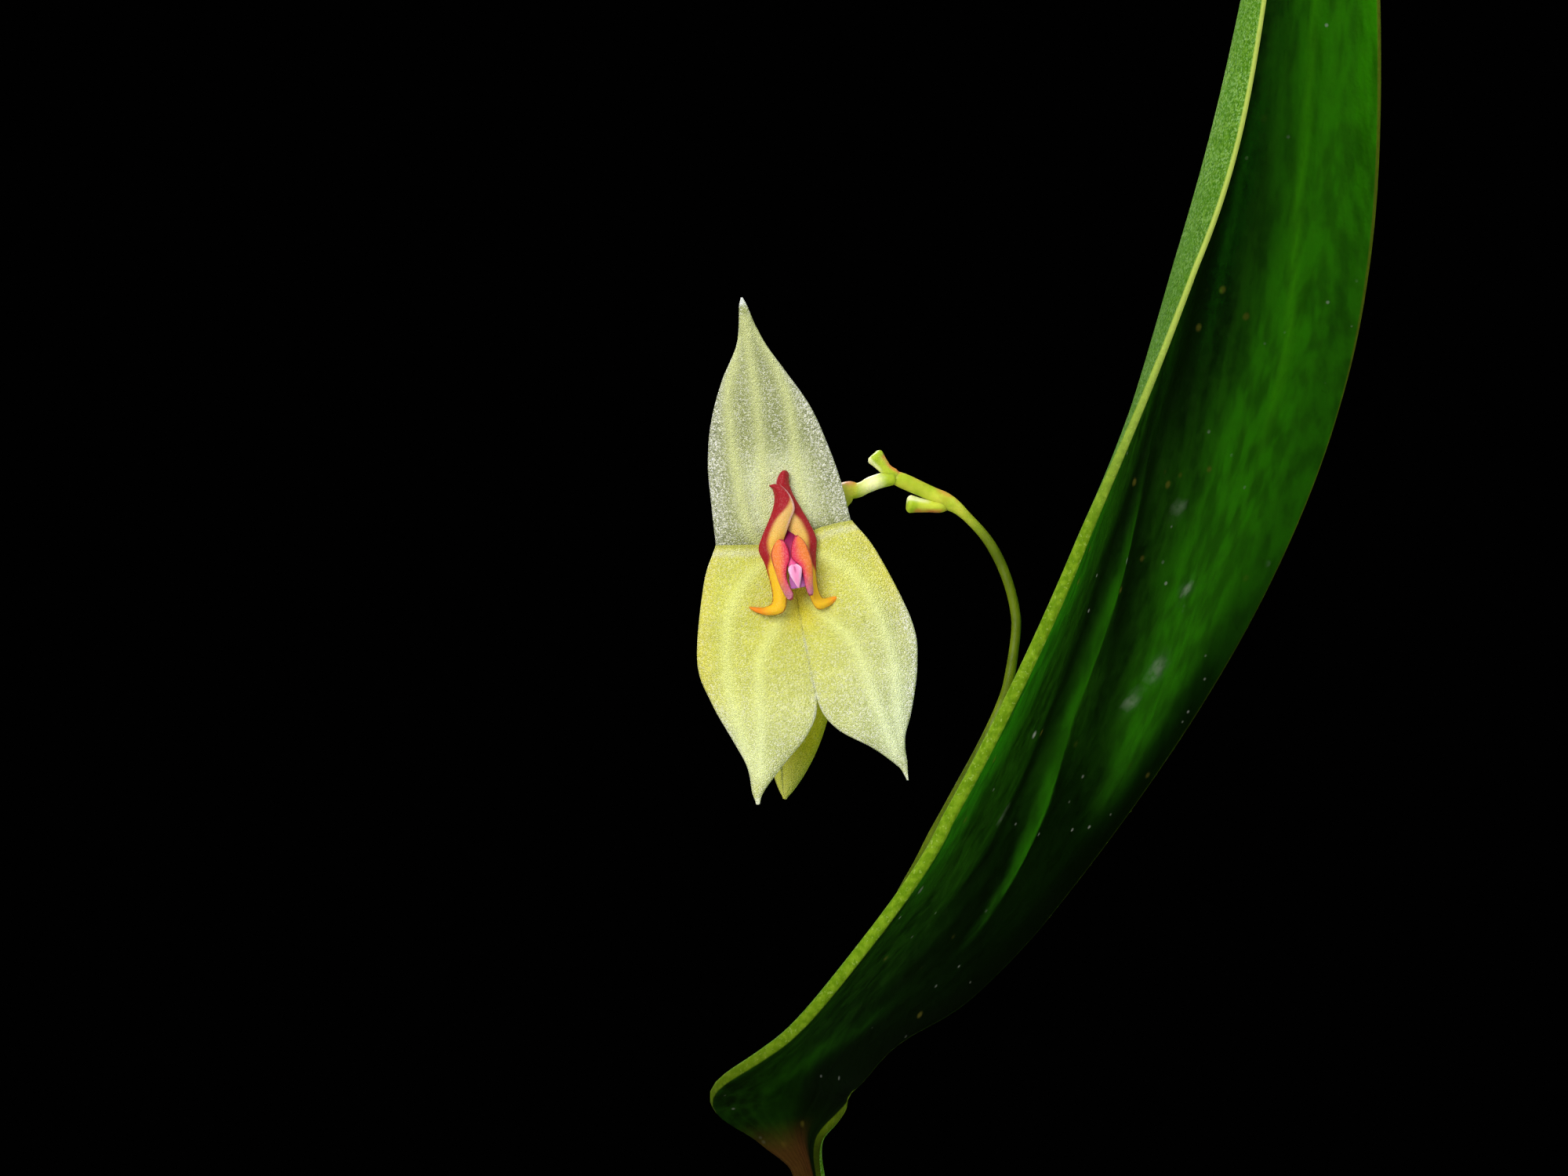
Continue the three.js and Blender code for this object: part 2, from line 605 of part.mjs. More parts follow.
function archedStalk({ shoot, side, arch, height }) {
  const base = aboveBrim(otherShoots[shoot].top);
  const heading = radians(otherShoots[shoot].heading);
  const inward = new THREE.Vector3(-Math.cos(heading), -Math.sin(heading), 0);
  const out = new THREE.Vector3(side[0], side[1], 0).normalize();
  const at = (reach, rise, inside = 0) => base.clone()
    .addScaledVector(out, reach)
    .addScaledVector(inward, inside)
    .add(new THREE.Vector3(0, 0, rise));
  const knuckle = at(arch * 0.84, height * 0.985);
  const stubEnd = knuckle.clone().addScaledVector(out, -0.6).add(new THREE.Vector3(0, 0, 1));
  return {
    peduncle: [at(0, 0.2, 1.0), at(0, height * 0.3, 1.4), at(arch * 0.14, height * 0.62, 1.2),
      at(arch * 0.5, height * 0.88, 0.5), knuckle, at(arch, height)],
    joints: [knuckle],
    stubs: [[knuckle, knuckle.clone().add(new THREE.Vector3(0, 0, 0.5)), stubEnd]],
    stalks: [{
      points: [at(arch, height), at(arch + 0.8, height - 0.3), at(arch + 1.2, height - 1.1)],
      steps: 4,
      radiusAt: () => 0.18,
    }],
    steps: 16,
    tip: at(arch + 1.26, height - 1.5),
    hang: out,
    ovary: [at(arch, height), at(arch + 1.0, height + 0.35), at(arch + 2.1, height + 0.3)],
    flowerCentre: at(arch + 2.1 + petalThickness + 2 * gap, height + 0.3),
  };
}

const model = new THREE.Group();
const firstTop = fromAxis(firstLeaf.spine[0]);
const firstShoot = { foot: [-3, -3], top: [firstTop.x, firstTop.y, firstTop.z - pot.height] };
const curves = [firstShoot, ...otherShoots].map(stemCurve);

model.add(part('pot', potGeometry(), colours.clay, 0.85));
const sockets = curves.map((curve) => {
  const reach = (stem.sunk + stem.sheathLength) / curve.getLength();
  const middle = [0, 0.25, 0.5, 0.75, 1].map((share) => curve.getPointAt(share * reach));
  middle[0].z -= gap;
  return taperedTube(smoothCurve(middle), 4, stem.sides, () => stem.sheathRadius + gap);
});
model.add(part('moss', cut(mossPlug(), sockets), colours.moss, 0.95));
curves.forEach((curve, k) => model.add(part(`ramicaul_${k + 1}`, sheathedStem(curve), colours.stem, 0.8)));
const firstSpine = firstLeaf.spine.map(fromAxis);
firstSpine[0].z += gap;
model.add(part('leaf_1', leafBlade({ ...firstLeaf, spine: firstSpine, facing: firstLeaf.facing.map(point) }),
  colours.leaf, 0.35));
otherShoots.forEach((shoot, k) => model.add(part(`leaf_${k + 2}`, standingLeaf(shoot), colours.leaf, 0.35)));
model.add(part('inflorescence_1', stubbedStalk(firstStalk), colours.stalk, 0.5));
model.add(part('bud_1', budGeometry(smoothCurve(firstBud), 1.9), colours.bud, 0.5));
otherStalks.forEach((setting, k) => {
  const stalk = archedStalk(setting);
  if (k === flowerBearer) {
    stalk.stalks.push({ points: stalk.ovary, steps: 4, radiusAt: (t) => lerp(0.2, 0.36, t) });
    const upward = new THREE.Vector3(0, 0, 1);
    model.add(flower(2, stalk.flowerCentre, new THREE.Vector3().crossVectors(upward, stalk.hang), upward));
  }
  model.add(part(`inflorescence_${k + 2}`, stubbedStalk(stalk), colours.stalk, 0.5));
  const end = stalk.tip.clone().addScaledVector(stalk.hang, 0.5).add(new THREE.Vector3(0, 0, -setting.bud));
  const middle = stalk.tip.clone().lerp(end, 0.5).addScaledVector(stalk.hang, 0.1);
  model.add(part(`bud_${k + 2}`, budGeometry(smoothCurve([stalk.tip, middle, end]), setting.bud * 0.42),
    colours.bud, 0.5));
});
const flowerTilt = radians(10.4);
model.add(flower(1, fromAxis([0.1, 0, 1.0]), new THREE.Vector3(Math.cos(flowerTilt), 0, Math.sin(flowerTilt)),
  new THREE.Vector3(-Math.sin(flowerTilt), 0, Math.cos(flowerTilt))));

export default model;
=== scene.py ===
import math
import random

import bpy
import numpy as np
from mathutils import Matrix, Vector


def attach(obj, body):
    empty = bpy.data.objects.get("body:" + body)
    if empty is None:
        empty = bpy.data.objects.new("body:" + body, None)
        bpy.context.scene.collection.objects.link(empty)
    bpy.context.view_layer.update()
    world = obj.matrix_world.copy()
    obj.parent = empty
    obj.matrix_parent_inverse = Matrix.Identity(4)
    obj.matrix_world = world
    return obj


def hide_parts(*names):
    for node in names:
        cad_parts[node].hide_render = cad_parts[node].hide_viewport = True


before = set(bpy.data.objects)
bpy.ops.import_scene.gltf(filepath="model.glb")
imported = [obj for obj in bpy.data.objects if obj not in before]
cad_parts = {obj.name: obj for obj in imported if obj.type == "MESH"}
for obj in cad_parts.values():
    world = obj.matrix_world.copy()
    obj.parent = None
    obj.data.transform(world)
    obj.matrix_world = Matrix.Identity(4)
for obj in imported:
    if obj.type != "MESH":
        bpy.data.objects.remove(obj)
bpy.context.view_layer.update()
mm = 0.001

# Camera: the first flower fills the middle of a frame 40 mm wide, seen level from 200 mm
axisPoint = np.array([-8.0, -10.0, 137.0])  # mm, the point that the first shoot is measured from
cameraSettings = {"distance": 200.0, "lens": 180.0, "sensor": 36.0}


def addCamera():
    data = bpy.data.cameras.new("camera")
    data.lens = cameraSettings["lens"]
    data.sensor_width = cameraSettings["sensor"]
    data.clip_start = 0.01
    data.clip_end = 20
    camera = bpy.data.objects.new("camera", data)
    camera.location = Vector(axisPoint * mm) + Vector((0, -cameraSettings["distance"] * mm, 0))
    camera.rotation_euler = (math.radians(90), 0, 0)
    bpy.context.scene.collection.objects.link(camera)
    bpy.context.scene.camera = camera


addCamera()
bpy.context.scene.view_settings.view_transform = "Standard"
print("camera set")


# Number work shared by the pieces
def unit(v):
    return v / np.maximum(np.linalg.norm(v, axis=-1, keepdims=True), 1e-12)


def ease(low, high, x):
    s = np.clip((x - low) / (high - low), 0, 1)
    return s * s * (3 - 2 * s)


def smoothLine(points, t):
    # a smooth line through the points, its ends carried straight on
    points = np.asarray(points, float)
    if points.ndim == 1:
        return smoothLine(points[:, None], t)[:, 0]
    spans = len(points) - 1
    place = np.clip(np.asarray(t) * spans, 0, spans - 1e-9)
    i = place.astype(int)
    w = (place - i)[:, None]
    ext = np.concatenate([[2 * points[0] - points[1]], points, [2 * points[-1] - points[-2]]])
    p0, p1, p2, p3 = ext[i], ext[i + 1], ext[i + 2], ext[i + 3]
    v0, v1 = 0.5 * (p2 - p0), 0.5 * (p3 - p1)
    return (2 * p1 - 2 * p2 + v0 + v1) * w**3 + (3 * p2 - 3 * p1 - 2 * v0 - v1) * w**2 + v0 * w + p1


def evenLine(points, shares):
    # points at these shares of the smooth line's length
    fine = smoothLine(points, np.linspace(0, 1, 400))
    run = np.concatenate([[0], np.cumsum(np.linalg.norm(np.diff(fine, axis=0), axis=1))])
    return np.stack([np.interp(np.asarray(shares) * run[-1], run, fine[:, k]) for k in range(3)], -1)


def lineLength(points):
    return np.linalg.norm(np.diff(smoothLine(points, np.linspace(0, 1, 200)), axis=0), axis=1).sum()


def bell(x, width):
    return np.exp(-((x / width) ** 2))


def turns(sides):
    return np.linspace(0, 2 * np.pi, sides, endpoint=False)


def turnedFrames(line):
    # the line's direction at each point and two across it, turning as little as they can
    along = unit(np.gradient(line, axis=0))
    side = np.eye(3)[np.argmin(np.abs(along[0]))]
    firsts = []
    for tangent in along:
        side = side - side.dot(tangent) * tangent
        side = side / np.linalg.norm(side)
        firsts.append(side)
    firsts = np.array(firsts)
    return along, firsts, np.cross(along, firsts)


def spokes(side, other, turn):
    # directions all round a line, from its two directions across
    return side[..., None, :] * np.cos(turn)[:, None] + other[..., None, :] * np.sin(turn)[:, None]


# Shells: points, faces and the marks that the finishes read, joined into one mesh a piece
def orderedOut(points, faces):
    volume = 0.0
    for size in (3, 4):
        group = np.array([f for f in faces if len(f) == size])
        if len(group):
            for k in range(1, size - 1):
                a, b, c = points[group[:, 0]], points[group[:, k]], points[group[:, k + 1]]
                volume += np.einsum("ij,ij->i", a, np.cross(b, c)).sum()
    return [f[::-1] for f in faces] if volume < 0 else faces


def loft(rings, marks=None, ends=True):
    # rings: (rows, points round, 3); marks: name to (rows, points round) or (rows, points round, 3)
    rows, around = rings.shape[:2]
    index = np.arange(rows * around).reshape(rows, around)
    nextOne = np.roll(index, -1, axis=1)
    faces = np.stack([index[:-1], nextOne[:-1], nextOne[1:], index[1:]], -1).reshape(-1, 4).tolist()
    points = rings.reshape(-1, 3)
    faces = orderedOut(points, faces)
    if ends:
        flipped = faces[0][1] != nextOne[0, 0]
        first, last = index[0].tolist(), index[-1].tolist()
        faces.append(first if flipped else first[::-1])
        faces.append(last[::-1] if flipped else last)
    flat = {}
    for name, value in (marks or {}).items():
        flat[name] = value.reshape((rows * around,) + value.shape[2:])
    return points, faces, flat


def blade(middle, front, back, marks, facing):
    # a thin closed sheet on a grid of middle points, with its own thickness to the front and the back
    normal = unit(np.cross(np.gradient(middle, axis=1), np.gradient(middle, axis=0)))
    if (normal.reshape(-1, 3) @ np.asarray(facing, float)).sum() < 0:
        normal = -normal
    top = middle + normal * front[..., None]
    low = middle - normal * back[..., None]
    rings = np.concatenate([top, low[:, -2:0:-1]], axis=1)
    columns = middle.shape[1]
    side = np.concatenate([[0], np.ones(columns - 2), [0], -np.ones(columns - 2)])
    allMarks = {"side": np.broadcast_to(side, rings.shape[:2])}
    for name, value in marks.items():
        allMarks[name] = np.concatenate([value, value[:, -2:0:-1]], axis=1)
    return loft(rings, allMarks)


def tube(line, radii, sides, marks):
    _, side, other = turnedFrames(line)
    return loft(line[:, None] + spokes(side, other, turns(sides)) * radii[:, None, None], marks)


def joined(shells):
    points, faces, marks = [], [], {}
    names = set().union(*(s[2].keys() for s in shells))
    start = 0
    for p, f, m in shells:
        points.append(p)
        faces.extend([[i + start for i in face] for face in f])
        for name in names:
            marks.setdefault(name, []).append(m.get(name, np.zeros(len(p))))
        start += len(p)
    return np.concatenate(points), faces, {n: np.concatenate(v) for n, v in marks.items()}


def addPiece(name, shell, finish, nodes):
    # an object on the root body that stands for these nodes of the solid part
    points, faces, marks = shell
    mesh = bpy.data.meshes.new(name)
    mesh.from_pydata((points * mm).tolist(), [], faces)
    for markName, value in marks.items():
        value = np.asarray(value, np.float32)
        kind, key = ("FLOAT", "value") if value.ndim == 1 else ("FLOAT_VECTOR", "vector")
        mesh.attributes.new(markName, kind, "POINT").data.foreach_set(key, value.ravel())
    mesh.polygons.foreach_set("use_smooth", [True] * len(mesh.polygons))
    mesh.materials.append(finish)
    mesh.update()
    piece = bpy.data.objects.new(name, mesh)
    bpy.context.scene.collection.objects.link(piece)
    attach(piece, "root")
    if nodes:
        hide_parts(*nodes)
    return piece


# Finishes: a socket that takes part in sums, and a tree that adds nodes
class Link:
    def __init__(self, tree, out):
        self.tree = tree
        self.out = out

    def sum(self, operation, a, b):
        return self.tree.node("ShaderNodeMath", {"operation": operation}, {0: a, 1: b})

    def __add__(self, other):
        return self.sum("ADD", self, other)

    def __radd__(self, other):
        return self.sum("ADD", other, self)

    def __sub__(self, other):
        return self.sum("SUBTRACT", self, other)

    def __rsub__(self, other):
        return self.sum("SUBTRACT", other, self)

    def __mul__(self, other):
        return self.sum("MULTIPLY", self, other)

    def __rmul__(self, other):
        return self.sum("MULTIPLY", other, self)

    def __neg__(self):
        return self.sum("MULTIPLY", self, -1)

    def size(self):
        return self.sum("ABSOLUTE", self, 0)

    def wave(self):
        return self.sum("SINE", self, 0)

    def most(self, other):
        return self.sum("MAXIMUM", self, other)

    def ease(self, low, high):
        return self.tree.node("ShaderNodeMapRange", {"interpolation_type": "SMOOTHSTEP"},
                              {"Value": self, "From Min": low, "From Max": high})


class Finish:
    def __init__(self, name):
        self.material = bpy.data.materials.new(name)
        self.material.use_nodes = True
        self.nodes = self.material.node_tree.nodes
        self.links = self.material.node_tree.links
        self.nodes.clear()
        coordinates = self.node("ShaderNodeTexCoord", {}, {}, "Object")
        self.place = self.vector("MULTIPLY", coordinates, (1000, 1000, 1000))  # millimetres

    def node(self, kind, settings, sockets, output=0):
        made = self.nodes.new(kind)
        for key, value in settings.items():
            setattr(made, key, value)
        for key, value in sockets.items():
            if isinstance(value, Link):
                self.links.new(value.out, made.inputs[key])
            else:
                made.inputs[key].default_value = value
        return Link(self, made.outputs[output]) if made.outputs else None

    def vector(self, operation, a, b):
        return self.node("ShaderNodeVectorMath", {"operation": operation}, {0: a, 1: b})

    def mix(self, factor, a, b):
        colours = {6: a, 7: b}
        for key, value in colours.items():
            if not isinstance(value, Link):
                colours[key] = (*value, 1)
        return self.node("ShaderNodeMix", {"data_type": "RGBA"}, {0: factor, **colours}, 2)

    def noise(self, scale, detail=2.0, stretch=(1, 1, 1)):
        spot = self.vector("MULTIPLY", self.place, stretch)
        sockets = {"Vector": spot, "Scale": scale, "Detail": detail}
        return self.node("ShaderNodeTexNoise", {}, sockets)

    def cells(self, scale, output="Distance"):
        return self.node("ShaderNodeTexVoronoi", {}, {"Vector": self.place, "Scale": scale}, output)

    def cellGreys(self, scale):
        # one even grey for each cell
        return self.node("ShaderNodeRGBToBW", {}, {0: self.cells(scale, "Color")})

    def mark(self, name, output="Fac"):
        return self.node("ShaderNodeAttribute", {"attribute_name": name}, {}, output)

    def marks(self, name):
        split = self.nodes.new("ShaderNodeSeparateXYZ")
        self.links.new(self.mark(name, "Vector").out, split.inputs[0])
        return [Link(self, out) for out in split.outputs]

    def bump(self, height, distance, strength=1.0):
        sockets = {"Height": height, "Distance": distance * mm, "Strength": strength}
        return self.node("ShaderNodeBump", {}, sockets)

    def surface(self, colour, roughness, normal=None, fixed=None):
        sockets = {"Base Color": colour, "Roughness": roughness, **(fixed or {})}
        if normal:
            sockets["Normal"] = normal
        shader = self.node("ShaderNodeBsdfPrincipled", {}, sockets)
        self.node("ShaderNodeOutputMaterial", {}, {"Surface": shader})
        return self.material


def flesh(weight, depth, gloss, radius=(1.0, 0.2, 0.1)):
    # how light goes into soft skin, depth in millimetres
    return {"Subsurface Weight": weight, "Subsurface Scale": depth * mm, "Subsurface Radius": radius,
            "Specular IOR Level": gloss}


# Stage: a pale floor disc that fades into a dark studio, and large soft lamps, in metres
studio = {
    "floorRadius": 1.5, "floorDrop": 0.0002, "rings": 24, "sides": 96,
    "fadeFrom": 0.45, "fadeTo": 1.45, "grey": 0.5, "dark": 0.0003, "aim": (0, 0, 0.09),
}
lamps = [
    {"at": (-0.45, -0.9, 0.6), "size": 0.65, "watts": 13.5, "colour": (1.0, 0.985, 0.96)},
    {"at": (0.85, -0.5, 0.45), "size": 0.6, "watts": 3, "colour": (0.97, 0.985, 1.0)},
    {"at": (-0.3, 0.8, 0.85), "size": 0.5, "watts": 11, "colour": (1.0, 1.0, 1.0)},
    {"at": (0.9, 0.25, 0.6), "size": 0.5, "watts": 4, "colour": (1.0, 0.99, 0.97)},
    {"at": (0.0, 0.0, 1.2), "size": 0.6, "watts": 4, "colour": (1.0, 1.0, 1.0)},
]


def floorFinish():
    finish = Finish("floor_paper")
    spread = finish.vector("MULTIPLY", finish.place, (mm, mm, 0))
    reach = finish.node("ShaderNodeVectorMath", {"operation": "LENGTH"}, {0: spread}, "Value")
    fade = 1 - reach.ease(studio["fadeFrom"], studio["fadeTo"])
    grey = studio["grey"]
    shade = finish.noise(0.02, 3).ease(0.3, 0.7)
    colour = finish.mix(shade, (grey, grey, grey * 0.98), (grey * 1.03, grey * 1.03, grey * 1.01))
    return finish.surface(colour, 0.9, None, {"Alpha": fade})


def addStage():
    world = bpy.data.worlds.new("studio")
    world.use_nodes = True
    dark = studio["dark"]
    world.node_tree.nodes["Background"].inputs["Color"].default_value = (dark, dark, dark, 1)
    bpy.context.scene.world = world
    rings, sides = studio["rings"], studio["sides"]
    angle = turns(sides)
    outline = np.stack([np.cos(angle), np.sin(angle), np.zeros(sides)], -1)[None]
    grid = np.linspace(0.02, 1, rings)[:, None, None] * studio["floorRadius"] * outline
    index = np.arange(rings * sides).reshape(rings, sides)
    nextOne = np.roll(index, -1, axis=1)
    faces = np.stack([index[:-1], index[1:], nextOne[1:], nextOne[:-1]], -1).reshape(-1, 4).tolist()
    faces.append(index[0].tolist())
    mesh = bpy.data.meshes.new("floor")
    mesh.from_pydata(grid.reshape(-1, 3).tolist(), [], faces)
    mesh.materials.append(floorFinish())
    floor = bpy.data.objects.new("floor", mesh)
    floor.location.z = -studio["floorDrop"]
    bpy.context.scene.collection.objects.link(floor)
    floor.visible_glossy = False  # no grey sheet mirrored in the dark leaves
    for k, lamp in enumerate(lamps):
        data = bpy.data.lights.new(f"lamp{k}", "AREA")
        data.size = lamp["size"]
        data.energy = lamp["watts"]
        data.color = lamp["colour"]
        light = bpy.data.objects.new(f"lamp{k}", data)
        light.location = lamp["at"]
        aim = Vector(studio["aim"]) - light.location
        light.rotation_euler = aim.to_track_quat("-Z", "Y").to_euler()
        light.visible_camera = False
        bpy.context.scene.collection.objects.link(light)


addStage()
print("stage set")

# Pot: turned clay, its rim band worn and its foot damp
pot = {
    "height": 50.0, "baseRadius": 18.5, "rimRadius": 27.5, "bandHeight": 13.0, "bandStep": 1.4,
    "wall": 3.2, "floor": 4.0, "drainRadius": 2.4, "drainDistance": 9.5, "drains": 4,
    "sides": 144, "stride": 1.6, "wobble": (0.0035, 0.002),
}


def potInner(height):
    foot = pot["baseRadius"] - pot["wall"]
    mouth = pot["rimRadius"] - pot["wall"] - pot["bandStep"] * 0.5
    return foot + (mouth - foot) * (height - pot["floor"]) / (pot["height"] - pot["floor"])


def clayFinish():
    finish = Finish("clay")
    height = finish.node("ShaderNodeSeparateXYZ", {}, {0: finish.place}, "Z")
    broad = finish.noise(0.09, 4).ease(0.35, 0.68)
    fine = finish.noise(1.1, 5).ease(0.3, 0.75)
    colour = finish.mix(broad, (0.46, 0.175, 0.085), (0.60, 0.27, 0.145))
    colour = finish.mix(fine * 0.45, colour, (0.66, 0.36, 0.22))
    damp = (1 - height.ease(2.0, 17.0)) * finish.noise(0.16, 3).ease(0.32, 0.6)
    colour = finish.mix(damp * 0.62, colour, (0.27, 0.105, 0.055))
    bloomPatch = finish.noise(0.22, 6).ease(0.5, 0.66) * height.ease(20.0, 44.0)
    bloomGrain = finish.noise(2.6, 3).ease(0.35, 0.65)
    colour = finish.mix(bloomPatch * (0.25 + 0.5 * bloomGrain), colour, (0.74, 0.66, 0.57))
    specks = 1 - finish.cells(0.95).ease(0.06, 0.13)
    colour = finish.mix(specks * 0.5, colour, (0.23, 0.10, 0.06))
    turning = finish.noise(1.0, 2, (0.03, 0.03, 1.7))
    grain = finish.noise(4.5, 4)
    normal = finish.bump(turning * 0.7 + grain * 0.3 + specks * -0.12, 0.16, 0.75)
    return finish.surface(colour, 0.82 + bloomPatch * 0.12, normal)


def potSection():
    # radius and height, from the middle of the foot out, over the rim and down inside to the middle
    bandFoot = pot["height"] - pot["bandHeight"]
    wallAtBand = potInner(bandFoot) + pot["wall"]
    base, top, rim, floor = pot["baseRadius"], pot["height"], pot["rimRadius"], pot["floor"]
    corners = [
        (0.02, 0.25), (base - 4.2, 0.2), (base - 3.4, 0.0), (base - 1.0, 0.0), (base, 0.9),
        (wallAtBand - 0.25, bandFoot - 0.5), (wallAtBand + 0.5, bandFoot - 0.05),
        (wallAtBand + pot["bandStep"], bandFoot + 0.75), (rim - 0.1, top - 1.1), (rim - 0.5, top - 0.25),
        (rim - 1.2, top), (potInner(top) + 0.9, top), (potInner(top) + 0.3, top - 0.3),
        (potInner(top - 1.2), top - 1.2), (potInner(floor + 2), floor + 2), (potInner(floor) - 2, floor),
        (0.02, floor),
    ]
    section = []
    for (r0, z0), (r1, z1) in zip(corners, corners[1:]):
        steps = max(1, int(math.hypot(r1 - r0, z1 - z0) / pot["stride"]))
        section += [(r0 + (r1 - r0) * k / steps, z0 + (z1 - z0) * k / steps) for k in range(steps)]
    return np.array(section + [corners[-1]])


def drillDrains(piece):
    cutters = []
    for k in range(pot["drains"]):
        turn = (k + 0.5) / pot["drains"] * 2 * math.pi
        reach = pot["drainDistance"] * mm
        centre = (math.cos(turn) * reach, math.sin(turn) * reach, pot["floor"] / 2 * mm)
        bpy.ops.mesh.primitive_cylinder_add(vertices=40, radius=pot["drainRadius"] * mm, depth=0.012,
                                            location=centre)
        cutter = bpy.context.active_object
        hole = piece.modifiers.new(f"drain{k}", "BOOLEAN")
        hole.operation = "DIFFERENCE"
        hole.object = cutter
        cutters.append(cutter)
    bpy.context.view_layer.update()
    drilled = piece.evaluated_get(bpy.context.evaluated_depsgraph_get())
    mesh = bpy.data.meshes.new_from_object(drilled)
    piece.modifiers.clear()
    piece.data = mesh
    for cutter in cutters:
        bpy.data.objects.remove(cutter)


def makePot():
    section = potSection()
    angle = turns(pot["sides"])
    oval, trefoil = pot["wobble"]  # clay is never quite round
    wobble = 1 + oval * np.sin(2 * angle + 0.6) + trefoil * np.sin(3 * angle)
    radius, height = section[:, :1], section[:, 1:]
    rings = np.stack([radius * np.cos(angle) * wobble, radius * np.sin(angle) * wobble,
                      height + 0 * angle], -1)
    drillDrains(addPiece("clay_pot", loft(rings), clayFinish(), ["pot"]))


makePot()
print("pot made")

# Moss: a soft mound with starry heads standing close together on it
moss = {"edgeHeight": 46.5, "dome": 5.0, "bumps": 60, "bumpHeight": 2.0, "bumpRadius": 2.6, "firstState": 7}
mossHeads = {
    "count": 430, "leaves": 30, "kinds": 6, "radius": (1.25, 2.0), "seed": 5, "tries": 12000,
    "apart": (1.75, 1.35), "lean": 0.45, "leafWidth": 0.13,
    "rise": (0.95, 0.5, 0.05), "length": (0.5, 0.8, 1.05),  # of the three whorls, from the middle out
}


def mossBumps():
    # the bumps of the solid mound, by the same rule of plain numbers
    state, span = moss["firstState"], 2**32
    found = []
    edge = potInner(moss["edgeHeight"])
    for _ in range(moss["bumps"]):
        draws = []
        for _ in range(3):
            state = (state * 1664525 + 1013904223) % span
            draws.append(state / span)
        reach = math.sqrt(draws[1]) * (edge - 1)
        found.append((math.cos(draws[0] * 2 * math.pi) * reach, math.sin(draws[0] * 2 * math.pi) * reach,
                      0.5 + 0.5 * draws[2]))
    return found


bumps = mossBumps()


def mossHeight(x, y):
    edge = potInner(moss["edgeHeight"])
    share = np.minimum(1, (x * x + y * y) / (edge * edge))
    height = moss["edgeHeight"] + moss["dome"] * (1 - share)
    for bx, by, rise in bumps:
        far = ((x - bx) ** 2 + (y - by) ** 2) / moss["bumpRadius"] ** 2
        height = height + rise * moss["bumpHeight"] * np.exp(-far) * (1 - share**4)
    return height


def mossFinish():
    finish = Finish("sphagnum")
    tone = finish.mark("tone")
    reach = finish.mark("reach")
    young = finish.mix(tone, (0.30, 0.36, 0.07), (0.52, 0.50, 0.16))
    old = finish.mix(tone.ease(0.55, 0.95), (0.17, 0.20, 0.035), (0.42, 0.33, 0.15))
    colour = finish.mix(reach.ease(0.15, 0.95), young, old)
    blush = finish.noise(0.13, 2).ease(0.58, 0.72) * reach.ease(0.1, 0.5)
    colour = finish.mix(blush * 0.45, colour, (0.42, 0.16, 0.08))
    colour = finish.mix(finish.noise(2.2, 3).ease(0.3, 0.8) * 0.35, colour, (0.62, 0.60, 0.34))
    normal = finish.bump(finish.noise(6.0, 2), 0.08, 0.6)
    return finish.surface(colour, 0.62, normal, flesh(0.12, 0.4, 0.5))


def mossGround():
    brim = potInner(moss["edgeHeight"]) - 0.45
    radii = np.concatenate([[0.2], np.linspace(0, brim, 60)[1:]])[:, None]
    angle = turns(160)
    x, y = radii * np.cos(angle), radii * np.sin(angle)
    rough = 0.35 * np.sin(x * 2.3 + 1.7 * np.sin(y * 1.9)) * np.sin(y * 2.7 + 1.3 * np.sin(x * 2.1))
    top = np.stack([x, y, mossHeight(x, y) - 0.9 + rough], -1)[::-1]
    foot = pot["floor"] + 0.3
    wall = np.array([(potInner(pot["floor"]) - 2.6, foot), (potInner(foot + 2) - 0.5, foot + 2.2),
                     (brim, moss["edgeHeight"] - 1)])
    reach, height = wall[:, :1], wall[:, 1:]
    lower = np.stack([reach * np.cos(angle), reach * np.sin(angle), height + 0 * angle], -1)
    rings = np.concatenate([lower, top])
    shape = rings.shape[:2]
    return loft(rings, {"tone": np.full(shape, 0.8), "reach": np.full(shape, 1.0)})


def headTemplate(draw):
    # one starry head of unit radius: pointed leaves in three whorls, each a folded blade of four quads
    points, faces, reach = [], [], []
    for k in range(mossHeads["leaves"]):
        whorl = k % 3
        turn = k * math.pi * (3 - math.sqrt(5)) + draw.uniform(-0.2, 0.2)
        rise = mossHeads["rise"][whorl] + draw.uniform(-0.15, 0.15)
        length = mossHeads["length"][whorl] * draw.uniform(0.85, 1.15)
        width = mossHeads["leafWidth"] * draw.uniform(0.8, 1.25)
        c, s = math.cos(turn), math.sin(turn)
        out = np.array([c * math.cos(rise), s * math.cos(rise), math.sin(rise)])
        across = np.array([-s, c, 0.0])
        up = np.cross(out, across)
        start = len(points)
        for share, half, droop in ((0.05, 0.5, 0.0), (0.5, 1.0, 0.03), (1.0, 0.08, -0.22)):
            centre = out * length * share + np.array([0, 0, droop * length])
            side = across * width * half
            points += [centre - side, centre - up * width * 0.5 * half, centre + side]
            reach += [share * length] * 3
        for a in (start, start + 1, start + 3, start + 4):
            faces.append([a, a + 1, a + 4, a + 3])
    return np.array(points), faces, np.array(reach)


